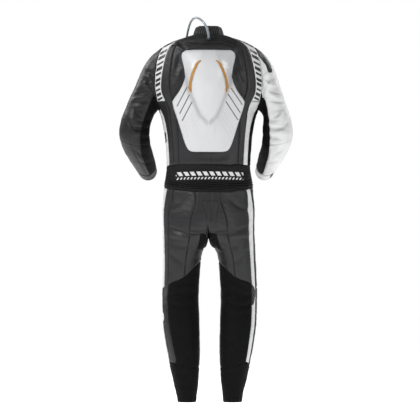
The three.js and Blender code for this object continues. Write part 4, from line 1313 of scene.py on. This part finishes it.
class SUIT_OT_zip(bpy.types.Operator):
    """Make the front zip's teeth, slider and pull tab"""

    bl_idname = "suit.zip"
    bl_label = "Zip"

    def execute(self, context):
        tape = bpy.data.objects["zip_tape_cloth"]
        spots = points_of(tape.data)
        middle = spots[np.abs(spots[:, 0]) < 0.004]
        pitch = TOOTH_PITCH * MM
        levels = np.arange(middle[:, 2].min() + 0.004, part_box("zip_slider")[0].z - 0.001, pitch)
        row_height = 0.004
        rows = np.round(middle[:, 2] / row_height)
        heights = np.unique(rows)
        front = np.array([middle[rows == row, 1].max() for row in heights])
        bpy.ops.mesh.primitive_cube_add(size=1, location=(0, 0, 0))
        teeth = context.object
        teeth.name = "zip_teeth"
        only(teeth)
        bpy.ops.object.mode_set(mode="EDIT")
        bpy.ops.transform.resize(value=(0.0042, 0.0016, 0.0016))
        bpy.ops.mesh.select_all(action="DESELECT")
        bpy.ops.object.mode_set(mode="OBJECT")
        for face in teeth.data.polygons:
            face.select = face.normal.x > 0.9
        bpy.ops.object.mode_set(mode="EDIT")
        bpy.ops.transform.resize(value=(1, 1, 1.5))
        bpy.ops.mesh.select_all(action="SELECT")
        bpy.ops.transform.translate(value=(0.0013, 0, 0))
        bpy.ops.object.mode_set(mode="OBJECT")
        column = teeth.modifiers.new("Column", "ARRAY")
        column.count = len(levels)
        column.use_relative_offset = False
        column.use_constant_offset = True
        column.constant_offset_displace = (0, 0, pitch)
        bpy.ops.object.modifier_apply(modifier=column.name)
        bpy.ops.object.mode_set(mode="EDIT")
        bpy.ops.mesh.select_all(action="SELECT")
        bpy.ops.mesh.duplicate()
        bpy.ops.transform.resize(value=(-1, 1, 1), center_override=(0, 0, 0))
        bpy.ops.transform.translate(value=(0, 0, pitch / 2))
        bpy.ops.mesh.select_all(action="SELECT")
        bpy.ops.mesh.normals_make_consistent(inside=False)
        bpy.ops.object.mode_set(mode="OBJECT")
        placed = points_of(teeth.data)
        placed[:, 2] += levels[0]
        placed[:, 1] += np.interp(placed[:, 2], heights * row_height, front) + 0.0009
        move_points(teeth.data, placed)
        teeth.data.materials.append(metal_material("zip_teeth", (0.05, 0.05, 0.055)))
        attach(teeth, BODY)
        for node, body in (("zip_slider", BODY), ("zip_pull", "zip_pull")):
            piece = copy_of(node)
            only(piece)
            change = piece.modifiers.new("Edge", "BEVEL")
            change.width = 0.00035
            change.segments = 3
            change.limit_method = "ANGLE"
            bpy.ops.object.modifier_apply(modifier=change.name)
            bpy.ops.object.shade_smooth_by_angle(angle=math.radians(35))
            dress(piece, node, metal_material(node, (0.42, 0.42, 0.44)))
            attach(piece, body)
        return {"FINISHED"}


class SUIT_PT_panel(bpy.types.Panel):
    """The suit's settings and the steps that make it"""

    bl_idname = "SUIT_PT_panel"
    bl_label = "Race Suit"
    bl_space_type = "VIEW_3D"
    bl_region_type = "UI"
    bl_category = "Race Suit"

    def draw(self, context):
        for name in SuitSettings.__annotations__:
            self.layout.prop(context.scene.race_suit, name)
        for step in STEPS:
            self.layout.operator(step.bl_idname)


STEPS = (SUIT_OT_stage, SUIT_OT_hose, SUIT_OT_cloth, SUIT_OT_collar, SUIT_OT_hump, SUIT_OT_zip)
CLASSES = (SuitSettings, *STEPS, SUIT_PT_panel)


def register():
    for made in CLASSES:
        bpy.utils.register_class(made)
    bpy.types.Scene.race_suit = bpy.props.PointerProperty(type=SuitSettings)


def unregister():
    del bpy.types.Scene.race_suit
    for made in reversed(CLASSES):
        bpy.utils.unregister_class(made)


def main():
    register()
    bpy.ops.suit.stage()
    bpy.ops.suit.hose()
    bpy.ops.suit.cloth()
    bpy.ops.suit.collar()
    bpy.ops.suit.hump()
    bpy.ops.suit.zip()


if __name__ == "__main__":
    main()
